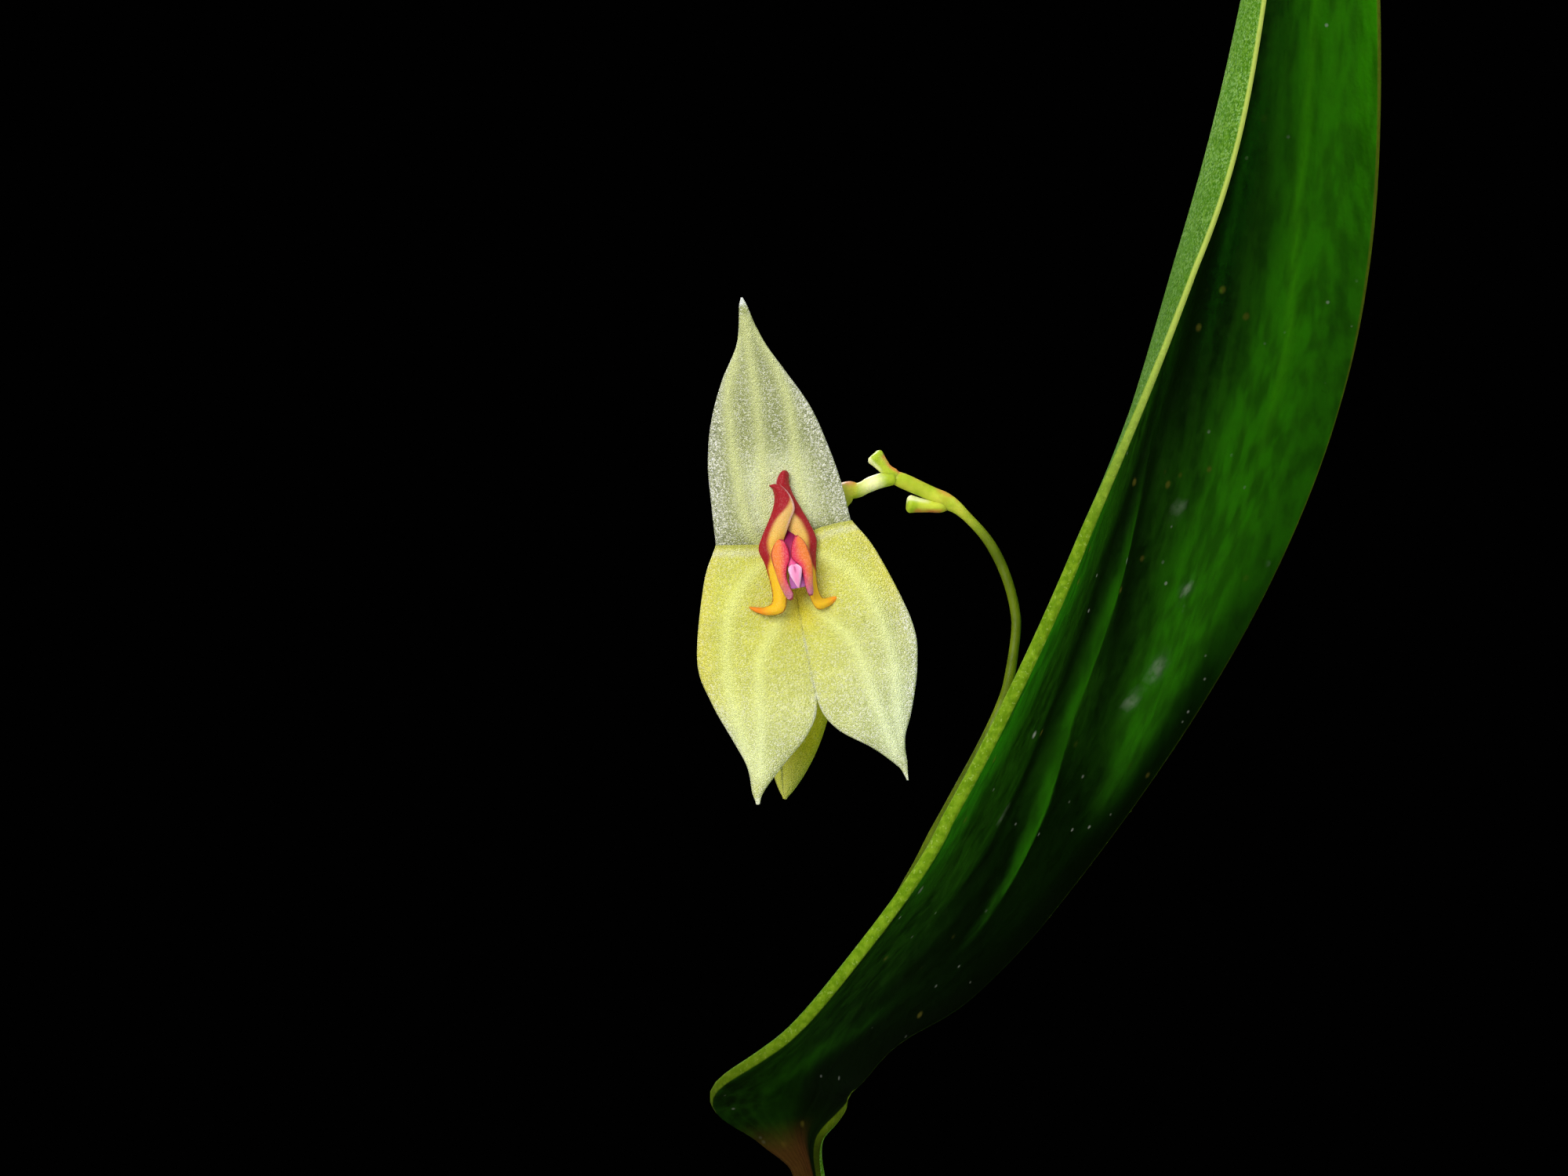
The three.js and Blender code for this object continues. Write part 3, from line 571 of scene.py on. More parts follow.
def mossSpots(draw, brim):
    spots = []
    tries = 0
    while len(spots) < mossHeads["count"] and tries < mossHeads["tries"]:
        tries += 1
        turn, reach = draw.uniform(0, 2 * math.pi), math.sqrt(draw.uniform(0, 1)) * brim
        x, y = reach * math.cos(turn), reach * math.sin(turn)
        near = mossHeads["apart"][0 if len(spots) < mossHeads["count"] * 0.7 else 1]
        if all((x - sx) ** 2 + (y - sy) ** 2 > near * near for sx, sy, _ in spots):
            spots.append((x, y, draw.uniform(*mossHeads["radius"])))
    return spots


def leaned(points, x, y, brim, turn):
    # points turned on the spot, then leaned away from the pot's axis
    away = math.atan2(y, x)
    lean = math.hypot(x, y) / brim * mossHeads["lean"]
    steps = [(turn - away, "Z"), (lean, "Y"), (away, "Z")]
    for angle, axis in steps:
        points = points @ np.array(Matrix.Rotation(angle, 3, axis)).T
    return points


def makeMoss():
    draw = random.Random(mossHeads["seed"])
    finish = mossFinish()
    addPiece("moss_mound", mossGround(), finish, ["moss"])
    templates = [headTemplate(draw) for _ in range(mossHeads["kinds"])]
    brim = potInner(moss["edgeHeight"]) - 0.9
    shells = []
    for x, y, radius in mossSpots(draw, brim):
        points, faces, reach = templates[draw.randrange(len(templates))]
        turned = leaned(points, x, y, brim, draw.uniform(0, 2 * math.pi))
        z = float(mossHeight(x, y)) - 0.1 + draw.uniform(-0.35, 0.45)
        tone = draw.random() ** 1.4
        marks = {"tone": np.full(len(points), tone), "reach": reach}
        shells.append((turned * radius + np.array([x, y, z]), faces, marks))
    addPiece("moss_heads", joined(shells), finish, [])


makeMoss()
print("moss made")

# Shoots: the first one's leaf measured from the axis point, the others from the middle of the pot's rim
firstLeaf = {
    "spine": [(0.8, 4.0, -15.4), (0.5, 3.6, -12.6), (5.1, 4.7, -7.2), (9.1, 5.3, 0.5), (11.1, 4.2, 8.7),
              (12.8, 2.9, 17.0), (14.4, 3.0, 27.8)],
    "facing": [(-0.55, -0.29, -0.83), (0.57, -0.33, -0.55), (0.7, -0.55, -0.18), (0.61, -0.83, 0.05)],
    "fold": [0.79, 0.2, 0.39, 1.36, 1.24],
    "halfWidth": 5.8,
}
shootRows = [  # foot, top, heading, rise at foot and tip in degrees, leaf's length, half its width, its fold
    ((4, 1), (17, 1, 54), -12, (74, 50), 47, 5.6, 0.8),
    ((-7, 4), (-28, 9, 38), 168, (66, 38), 44, 5.4, 0.75),
    ((1, 8), (2, 22, 33), 82, (72, 28), 42, 5.5, 0.7),
    ((-10, -3), (-20, -12, 27), 214, (62, 24), 42, 5, 0.8),
    ((7, -7), (13, -19, 24), 304, (64, 20), 41, 5.3, 0.75),
    ((9, 6), (23, 15, 31), 38, (66, 28), 44, 5.6, 0.7),
    ((-4, 11), (-14, 21, 19), 128, (60, 16), 38, 5, 0.85),
    ((0, -9), (-6, -19, 14), 262, (58, 10), 34, 4.6, 0.9),
    ((12, -1), (24, -5, 17), -20, (58, 12), 36, 4.8, 0.8),
]
shootNames = ("foot", "top", "heading", "rise", "length", "half", "fold")
otherShoots = [dict(zip(shootNames, row)) for row in shootRows]
stem = {
    "radius": 0.6, "coreSides": 14, "sheathRadius": 0.92, "slant": 0.62, "sheathLength": 8.6, "sunk": 6.0,
    "sheathSides": 44, "ribs": 11, "bristle": (0.16, 0.3), "seed": 3,
    "sheath": [  # share of its length, swell, how much of the slant: out to the mouth, then back inside
        (0.02, 0.76, 0), (0.12, 0.84, 0), (0.4, 0.93, 0.1), (0.72, 1.0, 0.3), (0.88, 1.2, 0.65),
        (0.97, 1.54, 1.0), (0.975, 1.5, 1.02), (0.9, 1.18, 0.75), (0.78, 0.86, 0.4)],
    "mouth": 5,
}


def shootTop(shoot):
    return np.array(shoot["top"], float) + (0, 0, pot["height"])


firstTop = axisPoint + firstLeaf["spine"][0]
allShoots = [{"foot": (-3, -3), "top": tuple(firstTop - (0, 0, pot["height"]))}, *otherShoots]


def stemLine(shoot):
    x, y = shoot["foot"]
    surface = float(mossHeight(x, y))
    top = shootTop(shoot)
    return np.array([
        (x, y, surface - stem["sunk"]), (x * 1.04, y * 1.04, surface + 3),
        (x + (top[0] - x) * 0.42, y + (top[1] - y) * 0.42, surface + (top[2] - surface) * 0.52), top,
    ])


def sheathFinish():
    finish = Finish("dry_sheath")
    around, within, tone = finish.marks("sheathPlace")
    ribs = (around * (math.pi * 2 * stem["ribs"])).wave()
    colour = finish.mix(tone, (0.30, 0.205, 0.095), (0.46, 0.36, 0.19))
    colour = finish.mix(within.ease(0.0, 0.45), (0.25, 0.29, 0.09), colour)
    colour = finish.mix(ribs.ease(0.2, 0.95) * 0.6, colour, (0.16, 0.095, 0.045))
    colour = finish.mix(within.ease(0.86, 0.99), colour, (0.17, 0.085, 0.04))
    colour = finish.mix(finish.noise(2.0, 4).ease(0.45, 0.75) * 0.4, colour, (0.58, 0.50, 0.33))
    normal = finish.bump(ribs * 0.5 + finish.noise(5.0, 3) * 0.6, 0.05, 0.7)
    return finish.surface(colour, 0.7, normal)


def sheathShell(fine, frames, start, share, slant, tone):
    # one sheath round the stem's fine line, and the rim of its mouth
    along, side, other = frames
    last = len(fine) - 1
    sides = stem["sheathSides"]
    angle = turns(sides)
    rings, marks = [], []
    for within, swell, lift in stem["sheath"]:
        at = (start + share * within) * last
        i = min(last - 1, int(at))
        centre = fine[i] + (fine[i + 1] - fine[i]) * (at - i)
        radius = stem["sheathRadius"] * swell * (1 + 0.035 * np.cos(stem["ribs"] * angle))
        point = 0.77 * np.abs(slant * lift) * np.abs(np.cos(angle / 2)) ** 6
        shift = slant * lift * np.cos(angle) + point
        rings.append(centre + spokes(side[i], other[i], angle) * radius[:, None] + along[i] * shift[:, None])
        marks.append(np.stack([angle / (2 * np.pi), np.full(sides, within), np.full(sides, tone)], -1))
    shell = loft(np.array(rings), {"sheathPlace": np.array(marks)}, ends=False)
    return shell, rings[stem["mouth"]], along[i]


def bristleShell(base, out, along, length, place):
    tip = base + (out * 0.5 + along) * length
    wide = np.cross(out, along) * 0.035
    corners = np.array([base - wide, base + wide, base - out * 0.05, tip])
    faces = [[0, 1, 3], [1, 2, 3], [2, 0, 3], [0, 2, 1]]
    return corners, faces, {"sheathPlace": np.tile(place, (4, 1))}


def sheathedStem(shoot, draw):
    line = stemLine(shoot)
    length = lineLength(line)
    sheaths = max(2, round((length - stem["sunk"]) / stem["sheathLength"]))
    first = stem["sunk"] * 0.75 / length
    share = (1 - 1.3 / length - first) / sheaths
    core = evenLine(line, np.linspace(0, 1, 60))
    sides = stem["coreSides"]
    shells = [tube(core, np.full(60, stem["radius"]), sides, {"sheathPlace": np.zeros((60, sides, 3))})]
    fine = evenLine(line, np.linspace(0, 1, 300))
    frames = turnedFrames(fine)
    for k in range(sheaths):
        start = first + share * k
        tone = draw.random()
        slant = stem["slant"] if k % 2 == 0 else -stem["slant"]
        shell, rim, along = sheathShell(fine, frames, start, share, slant, tone)
        shells.append(shell)
        middle = fine[min(299, int((start + share * 0.97) * 299))]
        for j in range(0, len(rim), 2):  # short bristles round the mouth
            shells.append(bristleShell(rim[j], unit(rim[j] - middle), along, draw.uniform(*stem["bristle"]),
                                       [j / len(rim), 1.0, tone]))
    return joined(shells)


def makeStems():
    finish = sheathFinish()
    draw = random.Random(stem["seed"])
    for k, shoot in enumerate(allShoots):
        addPiece(f"stem_{k + 1}", sheathedStem(shoot, draw), finish, [f"ramicaul_{k + 1}"])


makeStems()
print("stems made")


# Leaves: thick channelled blades with a pale margin and long low ridges
def leafUpper(finish, across, along, ridge, fineVeins, mottle, foot):
    # the glossy upper side, with painted light on its ridges and lit band, and painted shade where the fold,
    # the furrows and the foot lie in shade
    groove, lit = finish.mark("groove"), finish.mark("lit")
    streaks = finish.noise(2.3, 2, (1, 1, 0.08)).ease(0.34, 0.66)
    broad = finish.noise(0.42, 3, (1, 1, 0.3)).ease(0.36, 0.66)
    # the leaf's own dark green, made darker still as painted shade of the channel
    deep = finish.mix(broad, (0.003, 0.018, 0.0003), (0.007, 0.046, 0.0004))
    deep = finish.mix(streaks * 0.6, deep, (0.009, 0.062, 0.0004))
    # painted light: the ridges and the lit band painted a brighter green, as where the light falls on them
    ridgeLight = ridge.ease(0.1, 0.9).most(lit) * (0.42 + 0.58 * streaks)
    upper = finish.mix(ridgeLight, deep, (0.020, 0.160, 0.0005))
    upper = finish.mix(finish.mark("vein") * 0.8, upper, (0.038, 0.24, 0.001))
    nearEdge = (-across).ease(0.52, 0.88) * along.ease(0.25, 0.34) * (1 - along.ease(0.5, 0.58))
    upper = finish.mix(nearEdge * (0.4 + 0.6 * streaks), upper, (0.016, 0.19, 0.001))
    upper = finish.mix(fineVeins.ease(0.1, 0.9) * 0.10, upper, (0.02, 0.12, 0.001))
    upper = finish.mix(mottle * 0.2, upper, (0.02, 0.11, 0.001))
    # painted shade: the furrows painted near black, as where the channel lies in shadow
    upper = finish.mix(groove * 0.92, upper, (0.0015, 0.006, 0.0002))
    # painted shade: the far side of the blade darkened where the light falls off, most of all on its lower
    # half
    dim = across.ease(0.74, 0.86) * (1 - along.ease(0.64, 0.76))
    upper = finish.mix(dim * 0.42, upper, (0.004, 0.030, 0.0003))
    farEdge = across.ease(0.66, 0.93) * (1 - along.ease(0.45, 0.55))
    upper = finish.mix(farEdge * 0.95, upper, (0.001, 0.004, 0.0001))
    # painted shade on the far half of the lower blade, away from the ridges, lifted where the painted light
    # falls
    shade = (1 - ridge.ease(0.05, 0.5)) * across.ease(0.0, 0.2) * (1 - along.ease(0.38, 0.45))
    upper = finish.mix(shade * (1 - lit) * 0.85, upper, (0.001, 0.004, 0.0001))
    # painted shade over the leaf's foot
    upper = finish.mix(foot * 0.94, upper, (0.0015, 0.005, 0.0002))
    brownFlecks = (1 - finish.cells(0.9).ease(0.04, 0.13)) * finish.noise(0.25, 2).ease(0.42, 0.6)
    upper = finish.mix(brownFlecks * 0.5, upper, (0.13, 0.11, 0.012))
    flecks = (1 - finish.cells(0.36).ease(0.02, 0.055)) * finish.noise(0.3, 2).ease(0.46, 0.6)
    dots = (1 - finish.cells(1.4).ease(0.04, 0.10)) * finish.noise(0.4, 2).ease(0.5, 0.62)
    upper = finish.mix(flecks.most(dots * 0.6) * 0.6, upper, (0.46, 0.50, 0.42))
    stain = finish.mark("stain") * finish.noise(5.0, 3).ease(0.15, 0.6)
    return finish.mix(stain * 0.6, upper, (0.30, 0.34, 0.26))


def leafUnder(finish, along):
    # the dull under side, with fine grains
    under = finish.mix(finish.noise(9.0, 3).ease(0.38, 0.62), (0.06, 0.18, 0.008), (0.15, 0.32, 0.03))
    grain = finish.cellGreys(24.0)
    under = finish.mix(grain.ease(0.58, 0.8) * 0.45, under, (0.36, 0.60, 0.22))
    under = finish.mix((1 - grain.ease(0.2, 0.42)) * 0.5, under, (0.03, 0.10, 0.006))
    under = finish.mix(finish.noise(1.2, 3).ease(0.35, 0.7) * 0.4, under, (0.06, 0.20, 0.002))
    return finish.mix((1 - along.ease(0.62, 0.78)) * 0.5, under, (0.025, 0.085, 0.001))


def leafRim(finish, across, along):
    # the pale margin: dry and brown on the far side, with painted shade there and at the foot, and a painted
    # highlight on the near side's upper half
    rim = finish.mix(finish.noise(6.0, 3).ease(0.35, 0.7), (0.10, 0.20, 0.003), (0.17, 0.29, 0.010))
    rim = finish.mix(finish.noise(14.0, 2).ease(0.6, 0.7) * 0.5, rim, (0.34, 0.46, 0.09))
    # the far margin: a dry brown edge, darkened further as painted shade where the light falls off
    dryEdgeAndShade = finish.mix(along.ease(0.5, 0.56), (0.012, 0.020, 0.0006), (0.060, 0.075, 0.004))
    rim = finish.mix(across.ease(0.5, 0.9) * along.ease(0.24, 0.3) * 0.9, rim, dryEdgeAndShade)
    # painted shade over the margin at the foot
    rim = finish.mix((1 - along.ease(0.10, 0.25)) * 0.85, rim, (0.045, 0.07, 0.0015))
    rim = finish.mix((1 - along.ease(0.06, 0.13)) * 0.85, rim, (0.012, 0.020, 0.0005))
    # painted highlight: the near margin's upper half painted pale, as where the light falls along it
    pale = along.ease(0.5, 0.7) * (1 - across.ease(-0.5, 0.5))
    return finish.mix(pale * 0.85, rim, (0.46, 0.55, 0.11))


def leafFinish():
    finish = Finish("leaf_skin")
    across, along, ridge = finish.marks("leafPlace")
    upperSide = finish.mark("side").ease(-0.35, 0.1)
    fineVeins = (across * 38 + finish.noise(0.5, 2, (1, 1, 0.25)) * 5).wave()
    mottle = finish.noise(3.4, 4).ease(0.38, 0.7)
    # painted shade over the leaf's foot, weaker on the near side and where the painted light falls
    foot = (1 - along.ease(0.12, 0.40)) * (0.55 + 0.45 * across.ease(-0.6, 0.3))
    foot = foot * (1 - finish.mark("lit") * 0.6)
    upper = leafUpper(finish, across, along, ridge, fineVeins, mottle, foot)
    colour = finish.mix(upperSide, leafUnder(finish, along), upper)
    margin = (across.size() - along.ease(0.46, 0.6) * 0.012).ease(0.97, 0.985)
    colour = finish.mix(margin, colour, leafRim(finish, across, along))
    brown = (1 - along.ease(0.05, 0.115)) * (1 - across.ease(0.2, 0.7))
    colour = finish.mix(brown * 0.85, colour, (0.050, 0.018, 0.004))
    colour = finish.mix(along.ease(0.985, 1.0), colour, (0.30, 0.20, 0.06))
    rough = 0.42 + mottle * 0.12 + (1 - upperSide) * 0.2 + foot * 0.5
    height = fineVeins * 0.10 + finish.noise(7.0, 3) * 0.4 + finish.noise(1.8, 3, (1, 1, 0.35)) * 2.2
    normal = finish.bump(height, 0.07, 0.7)
    return finish.surface(colour, rough, normal, flesh(0.1, 0.4, 0.025, (0.5, 1.0, 0.2)))


leafShape = {
    "thickness": 0.29, "keel": 0.16, "groove": 0.08, "ridge": 0.2, "furrow": 0.12, "rib": 0.022, "lip": 0.05,
    "rows": 190, "columns": 71, "footShare": 0.05, "widest": 0.45, "narrowest": 0.12, "plainFineness": 0.7,
}
# lines along a leaf: places along it, places across it, how wide they are
firstRidges = [
    ((0.27, 0.3, 0.34, 0.38, 0.42, 0.46, 0.503), (0.5, 0.46, 0.34, 0.19, -0.03, -0.12, -0.2), 0.07),
    ((0.36, 0.409, 0.445, 0.504, 0.574, 0.7, 1.0), (0.85, 0.74, 0.58, 0.42, 0.45, 0.6, 0.6), 0.17),
]
firstFurrows = [
    ((0.38, 0.42, 0.46, 0.5, 0.52, 0.57), (0.44, 0.34, 0.14, 0.0, -0.08, -0.15), 0.12),
    ((0.24, 0.34, 0.38, 0.42, 0.46, 0.5, 0.54, 0.6),
     (-0.05, 0.05, -0.06, -0.2, -0.29, -0.35, -0.3, -0.2), 0.10),
    ((0.5, 0.57, 0.62, 0.7, 0.75, 0.8, 1.0), (-0.1, -0.1, 0.0, 0.04, -0.05, -0.3, -0.45), 0.2),
]
plainRidges = [((0.1, 0.5, 1.0), (-0.5, -0.45, -0.3), 0.14), ((0.1, 0.5, 1.0), (0.55, 0.4, 0.3), 0.17)]
plainFurrows = [((0.1, 0.5, 1.0), (0.0, 0.0, 0.0), 0.1)]
firstLook = {  # what only the first leaf has: places along it, and the value there
    "footWidth": ((0.0, 0.03, 0.063, 0.092, 0.12), (0.1, 0.13, 0.19, 0.24, 0.2)),
    "tuckedSide": ((0.10, 0.12, 0.14, 0.16, 0.18, 0.20, 0.24, 0.28),
                   (0, 0.35, 0.45, 0.32, 0.2, 0.15, 0.2, 0)),
    "litFrom": ((0.36, 0.42, 0.46, 0.5, 0.58, 0.63, 0.7, 0.78, 1.0),
                (0.66, 0.6, 0.34, 0.18, 0.18, 0.28, 0.28, 0.12, 0.05)),
    "footGleam": ((0.14, 0.18, 0.22, 0.26), (-0.4, -0.08, 0.25, 0.36)),
    "vein": ((0.54, 0.58, 0.62, 0.66, 0.70, 0.74, 0.78, 1.0),
             (0.62, 0.63, 0.63, 0.58, 0.52, 0.50, 0.46, 0.4)),
    "stains": [(0.462, 0.5, 0.2), (0.444, 0.46, 0.16), (0.535, 0.19, 0.12), (0.5, 0.44, 0.13),
               (0.361, -0.11, 0.13)],  # along, across, size
}


def leafShare(t):
    # the leaf's width along it, as a share of its widest
    foot, widest = leafShape["footShare"], leafShape["widest"]
    rise = np.clip((t - foot) / (widest - foot), 0, 1)
    fall = np.clip((1 - t) / (1 - widest), 0, 1)
    up = np.sin(rise * np.pi / 2) ** 0.8
    down = np.sin(fall * np.pi / 2) ** 0.9
    return np.maximum(np.where(t < widest, up, down), leafShape["narrowest"])


def leafLines(t, v, lines):
    # how near each point of the leaf is to one of the lines that run along it
    strength = np.zeros(v.shape)
    for along, places, width in lines:
        centre = np.interp(t, along, places)[:, None]
        fade = (ease(along[0], along[0] + 0.1, t) * ease(along[-1] + 0.08, along[-1] - 0.02, t))[:, None]
        strength = np.maximum(strength, fade * bell(v - centre, width))
    return strength


def softProfile(t, places, values, blur=0.012):
    # values between places along a line, with the corners rounded off
    shifts = np.linspace(-blur, blur, 9)
    return np.mean([np.interp(t + shift, places, values) for shift in shifts], axis=0)


def lookMarks(t, v, width, length, look):
    # the marks of light, vein and water stains, where one leaf has them
    row = t[:, None]
    start = np.interp(t, *look["litFrom"])[:, None]
    gleam = np.interp(t, *look["footGleam"])[:, None]
    window = ease(0.12, 0.18, row) * ease(0.29, 0.22, row)
    lit = ease(0.36, 0.46, row) * ease(start - 0.12, start + 0.34, v) + window * 0.5 * bell(v - gleam, 0.17)
    stain = np.zeros(v.shape)
    for along, across, size in look["stains"]:
        apart = np.hypot((v - across) * width, (row - along) * length)
        stain = np.maximum(stain, bell(apart, size))
    vein = ease(0.55, 0.62, row) * bell(v - np.interp(t, *look["vein"])[:, None], 0.026)
    return {"lit": lit, "stain": stain, "vein": vein}


def leafShell(leaf, ridges, furrows, look=None, fineness=1.0):
    rows, columns = int(leafShape["rows"] * fineness), int(leafShape["columns"] * fineness)
    t = np.linspace(0, 1, rows) ** 0.92
    spine = leaf["spine"]
    step = 1e-3
    tangent = unit(smoothLine(spine, np.minimum(t + step, 1)) - smoothLine(spine, np.maximum(t - step, 0)))
    middle = smoothLine(spine, t)
    face = smoothLine(leaf["facing"], t)
    normal = unit(face - (face * tangent).sum(1, keepdims=True) * tangent)
    across = unit(np.cross(tangent, normal))
    share = leafShare(t)
    if look:
        share = softProfile(t, t, np.maximum(share, softProfile(t, *look["footWidth"])))
    width = (leaf["halfWidth"] * share)[:, None]
    bend = smoothLine(leaf["fold"], t)[:, None]
    s = np.linspace(-1, 1, columns)
    v = np.sin(s * np.pi / 2 * 0.92) / math.sin(math.pi / 2 * 0.92)  # closer columns near the margins
    v = np.broadcast_to(v, (rows, columns))
    angle = v * bend
    if look:
        angle = angle * (1 - ease(0, 0.5, v) * softProfile(t, *look["tuckedSide"])[:, None])
    grid = (middle[:, None] + across[:, None] * (width / bend * np.sin(angle))[..., None]
            + normal[:, None] * (width / bend * (1 - np.cos(angle)))[..., None])
    row = t[:, None]
    half = leafShape["thickness"] / 2 * (1 - (0.6 * ease(0.46, 0.68, row) if look else 0 * row))
    rimFrom = 1 - np.clip(half / width, 0.0, 0.6)
    rounded = np.sqrt(np.clip(1 - (np.clip(np.abs(v) - rimFrom, 0, 1) / (1 - rimFrom)) ** 2, 0, 1))
    body = half * (0.55 + 0.45 * ease(1.0, 0.8, row))
    spread = ease(0.03, 0.2, row)
    groove = leafShape["groove"] * bell(v * width, 0.55) * spread
    ribs = leafShape["rib"] * np.cos(v * 21) * spread * (1 - np.abs(v) ** 6)
    lip = leafShape["lip"] * ease(0.82, 0.93, np.abs(v)) * spread
    ridge, furrow = leafLines(t, v, ridges), leafLines(t, v, furrows)
    swell = (leafShape["ridge"] * ridge - leafShape["furrow"] * furrow) * (1 - np.abs(v) ** 8)
    front = (body - groove + ribs + lip + swell) * rounded
    keel = leafShape["keel"] * bell(v * width, 0.6) * spread
    back = (body + keel + ribs * 0.5) * rounded
    blank = np.zeros(v.shape)
    marks = {"leafPlace": np.stack([v, row + blank, ridge], -1), "groove": furrow}
    if look:
        marks |= lookMarks(t, v, width, lineLength(middle), look)
    else:
        marks |= dict.fromkeys(("lit", "stain", "vein"), blank)
    return blade(grid, front, back, marks, normal.mean(0))


def standingLeaf(shoot):
    heading = math.radians(shoot["heading"])
    outward = np.array([math.cos(heading), math.sin(heading), 0])
    upward = np.array([0, 0, 1])
    steps = 6
    spine = [shootTop(shoot)]
    facing = []
    for i in range(steps + 1):
        rise = math.radians(shoot["rise"][0] + (shoot["rise"][1] - shoot["rise"][0]) * i / steps)
        facing.append(upward * math.cos(rise) - outward * math.sin(rise))
        stride = outward * math.cos(rise) + upward * math.sin(rise)
        spine.append(spine[i] + stride * shoot["length"] / steps)
    fold = shoot["fold"]
    return {"spine": spine[:-1], "facing": facing, "fold": [fold * 0.8, fold, fold, fold * 0.6],
            "halfWidth": shoot["half"]}


def makeLeaves():
    finish = leafFinish()
    leaf = {**firstLeaf, "spine": [axisPoint + p for p in firstLeaf["spine"]]}
    shell = leafShell(leaf, firstRidges, firstFurrows, firstLook)
    addPiece("channelled_leaf_1", shell, finish, ["leaf_1"])
    for k, shoot in enumerate(otherShoots):
        shell = leafShell(standingLeaf(shoot), plainRidges, plainFurrows, None, leafShape["plainFineness"])
        addPiece(f"channelled_leaf_{k + 2}", shell, finish, [f"leaf_{k + 2}"])


makeLeaves()
print("leaves made")

# Flowering stems, with cupped stubs where flowers dropped
stalkShape = {
    "radius": 0.2, "sides": 22, "flare": 0.2, "stub": 0.165, "stubRows": 16, "stubSides": 20,
    "stubSwell": ((0, 0.12, 0.25, 0.5, 0.8, 1), (0.4, 0.9, 1.08, 0.92, 1.16, 1.4)),
    "cup": ((0.05, 0.9), (0.09, 0.66), (0.08, 0.3)),  # how far past the stub's end, share of its radius
    "slender": ((0, 0.9, 0.935, 1), (0.64, 0.64, 0.92, 0.95)),
    # the flower's own stalk, a slight waist and the ovary: radius, then how pale and young it is, its palest
    # part a painted highlight
    "ovary": ((0, 0.08, 0.16, 0.21, 0.26, 0.33, 0.42, 0.8, 1),
              (0.16, 0.18, 0.195, 0.175, 0.2, 0.29, 0.35, 0.27, 0.2)),
    "ovaryYouthAndGleam": ((0, 0.05, 0.14, 0.24, 0.34, 1), (1.0, 1.25, 1.9, 1.4, 0.6, 0.5)),
    "waist": 0.3,
}


def stalkFinish():
    finish = Finish("flower_stalk")
    blush = finish.mark("blush")
    young = finish.mark("young")
    colour = finish.mix(finish.noise(1.1, 3).ease(0.3, 0.7), (0.078, 0.120, 0.002), (0.135, 0.19, 0.004))
    fresh = finish.mix(finish.noise(1.9, 2).ease(0.35, 0.65), (0.36, 0.50, 0.015), (0.58, 0.66, 0.05))
    colour = finish.mix(young, colour, fresh)
    # painted highlight: where the mark passes 1.2 the stalk is painted near white
    colour = finish.mix(young.ease(1.2, 1.9) * 0.85, colour, (0.90, 0.92, 0.50))
    colour = finish.mix(blush * finish.noise(2.6, 2).ease(0.3, 0.6), colour, (0.70, 0.24, 0.06))
    height = finish.noise(9.0, 2, (1, 1, 0.35))
    normal = finish.bump(height, 0.04, 0.5)
    return finish.surface(colour, 0.42, normal, flesh(0.25, 0.2, 0.25, (0.8, 1.0, 0.1)))


def stubShell(points, redSide):
    # what a dropped flower leaves: a short stalk that widens to a shallow cup with a rim
    rows = stalkShape["stubRows"]
    share = np.linspace(0, 1, rows)
    line = evenLine(points, share)
    _, side, other = turnedFrames(line)
    radii = stalkShape["stub"] * np.interp(share, *stalkShape["stubSwell"])
    end = unit(line[-1] - line[-2])
    line = np.concatenate([line, [line[-1] + end * past for past, _ in stalkShape["cup"]]])
    radii = np.concatenate([radii, [radii[-1] * part for _, part in stalkShape["cup"]]])
    turn = turns(stalkShape["stubSides"])
    row = np.arange(len(line))[:, None]
    wave = 1 + 0.05 * np.sin(3 * turn) * np.minimum(1, row / 12)
    held = np.minimum(row[:, 0], rows - 1)  # the cup keeps the stub's last directions
    around = spokes(side[held], other[held], turn)
    facing = around[0] @ unit(np.asarray(redSide, float))
    blush = ease(0.3, 0.95, facing) * (row < 14)
    # a painted highlight on the stub's end, on the side away from the blush
    young = 1.1 + 0.8 * ease(0.0, 0.7, -facing) * ease(5, 12, row)
    rings = line[:, None] + around * (radii[:, None] * wave)[..., None]
    return loft(rings, {"blush": blush, "young": young})


def stalkShell(points, count, radiusAt, joints, young=None, redAt=None):
    # a stalk that widens where another one leaves it
    t = np.linspace(0, 1, count)
    line = evenLine(points, t)
    near = np.min([np.linalg.norm(line - j, axis=1) for j in joints], axis=0)
    radii = radiusAt(t) * (1 + stalkShape["flare"] * bell(near, 0.3))
    _, side, other = turnedFrames(line)
    above = ease(0.25, 0.9, spokes(side, other, turns(stalkShape["sides"]))[..., 2])
    red = bell(near, 0.5) if redAt is None else bell(t - redAt, 0.05)
    blush = 0.95 * red[:, None] * (0.2 + 0.8 * above)
    past = np.arange(count) > np.linalg.norm(line - joints[0], axis=1).argmin()
    fresh = bell(near, 0.9)
    fresh = np.where(past, 0.75 + 0.25 * fresh, fresh) if young is None else young(t)
    marks = {"blush": blush, "young": np.broadcast_to(fresh[:, None], blush.shape)}
    return tube(line, radii, stalkShape["sides"], marks)


def stalkRadius(t):
    end = np.sqrt(np.clip(1 - np.clip((t - 0.97) / 0.0301, 0, 1) ** 2, 0.01, 1))
    slender = np.interp(t, *stalkShape["slender"])
    return stalkShape["radius"] * slender * (1 + 0.03 * np.sin(t * 47) + 0.02 * np.sin(t * 91)) * end


def ovaryRadius(t):
    return np.interp(t, *stalkShape["ovary"])


def ovaryYouthAndGleam(t):
    return np.interp(t, *stalkShape["ovaryYouthAndGleam"])


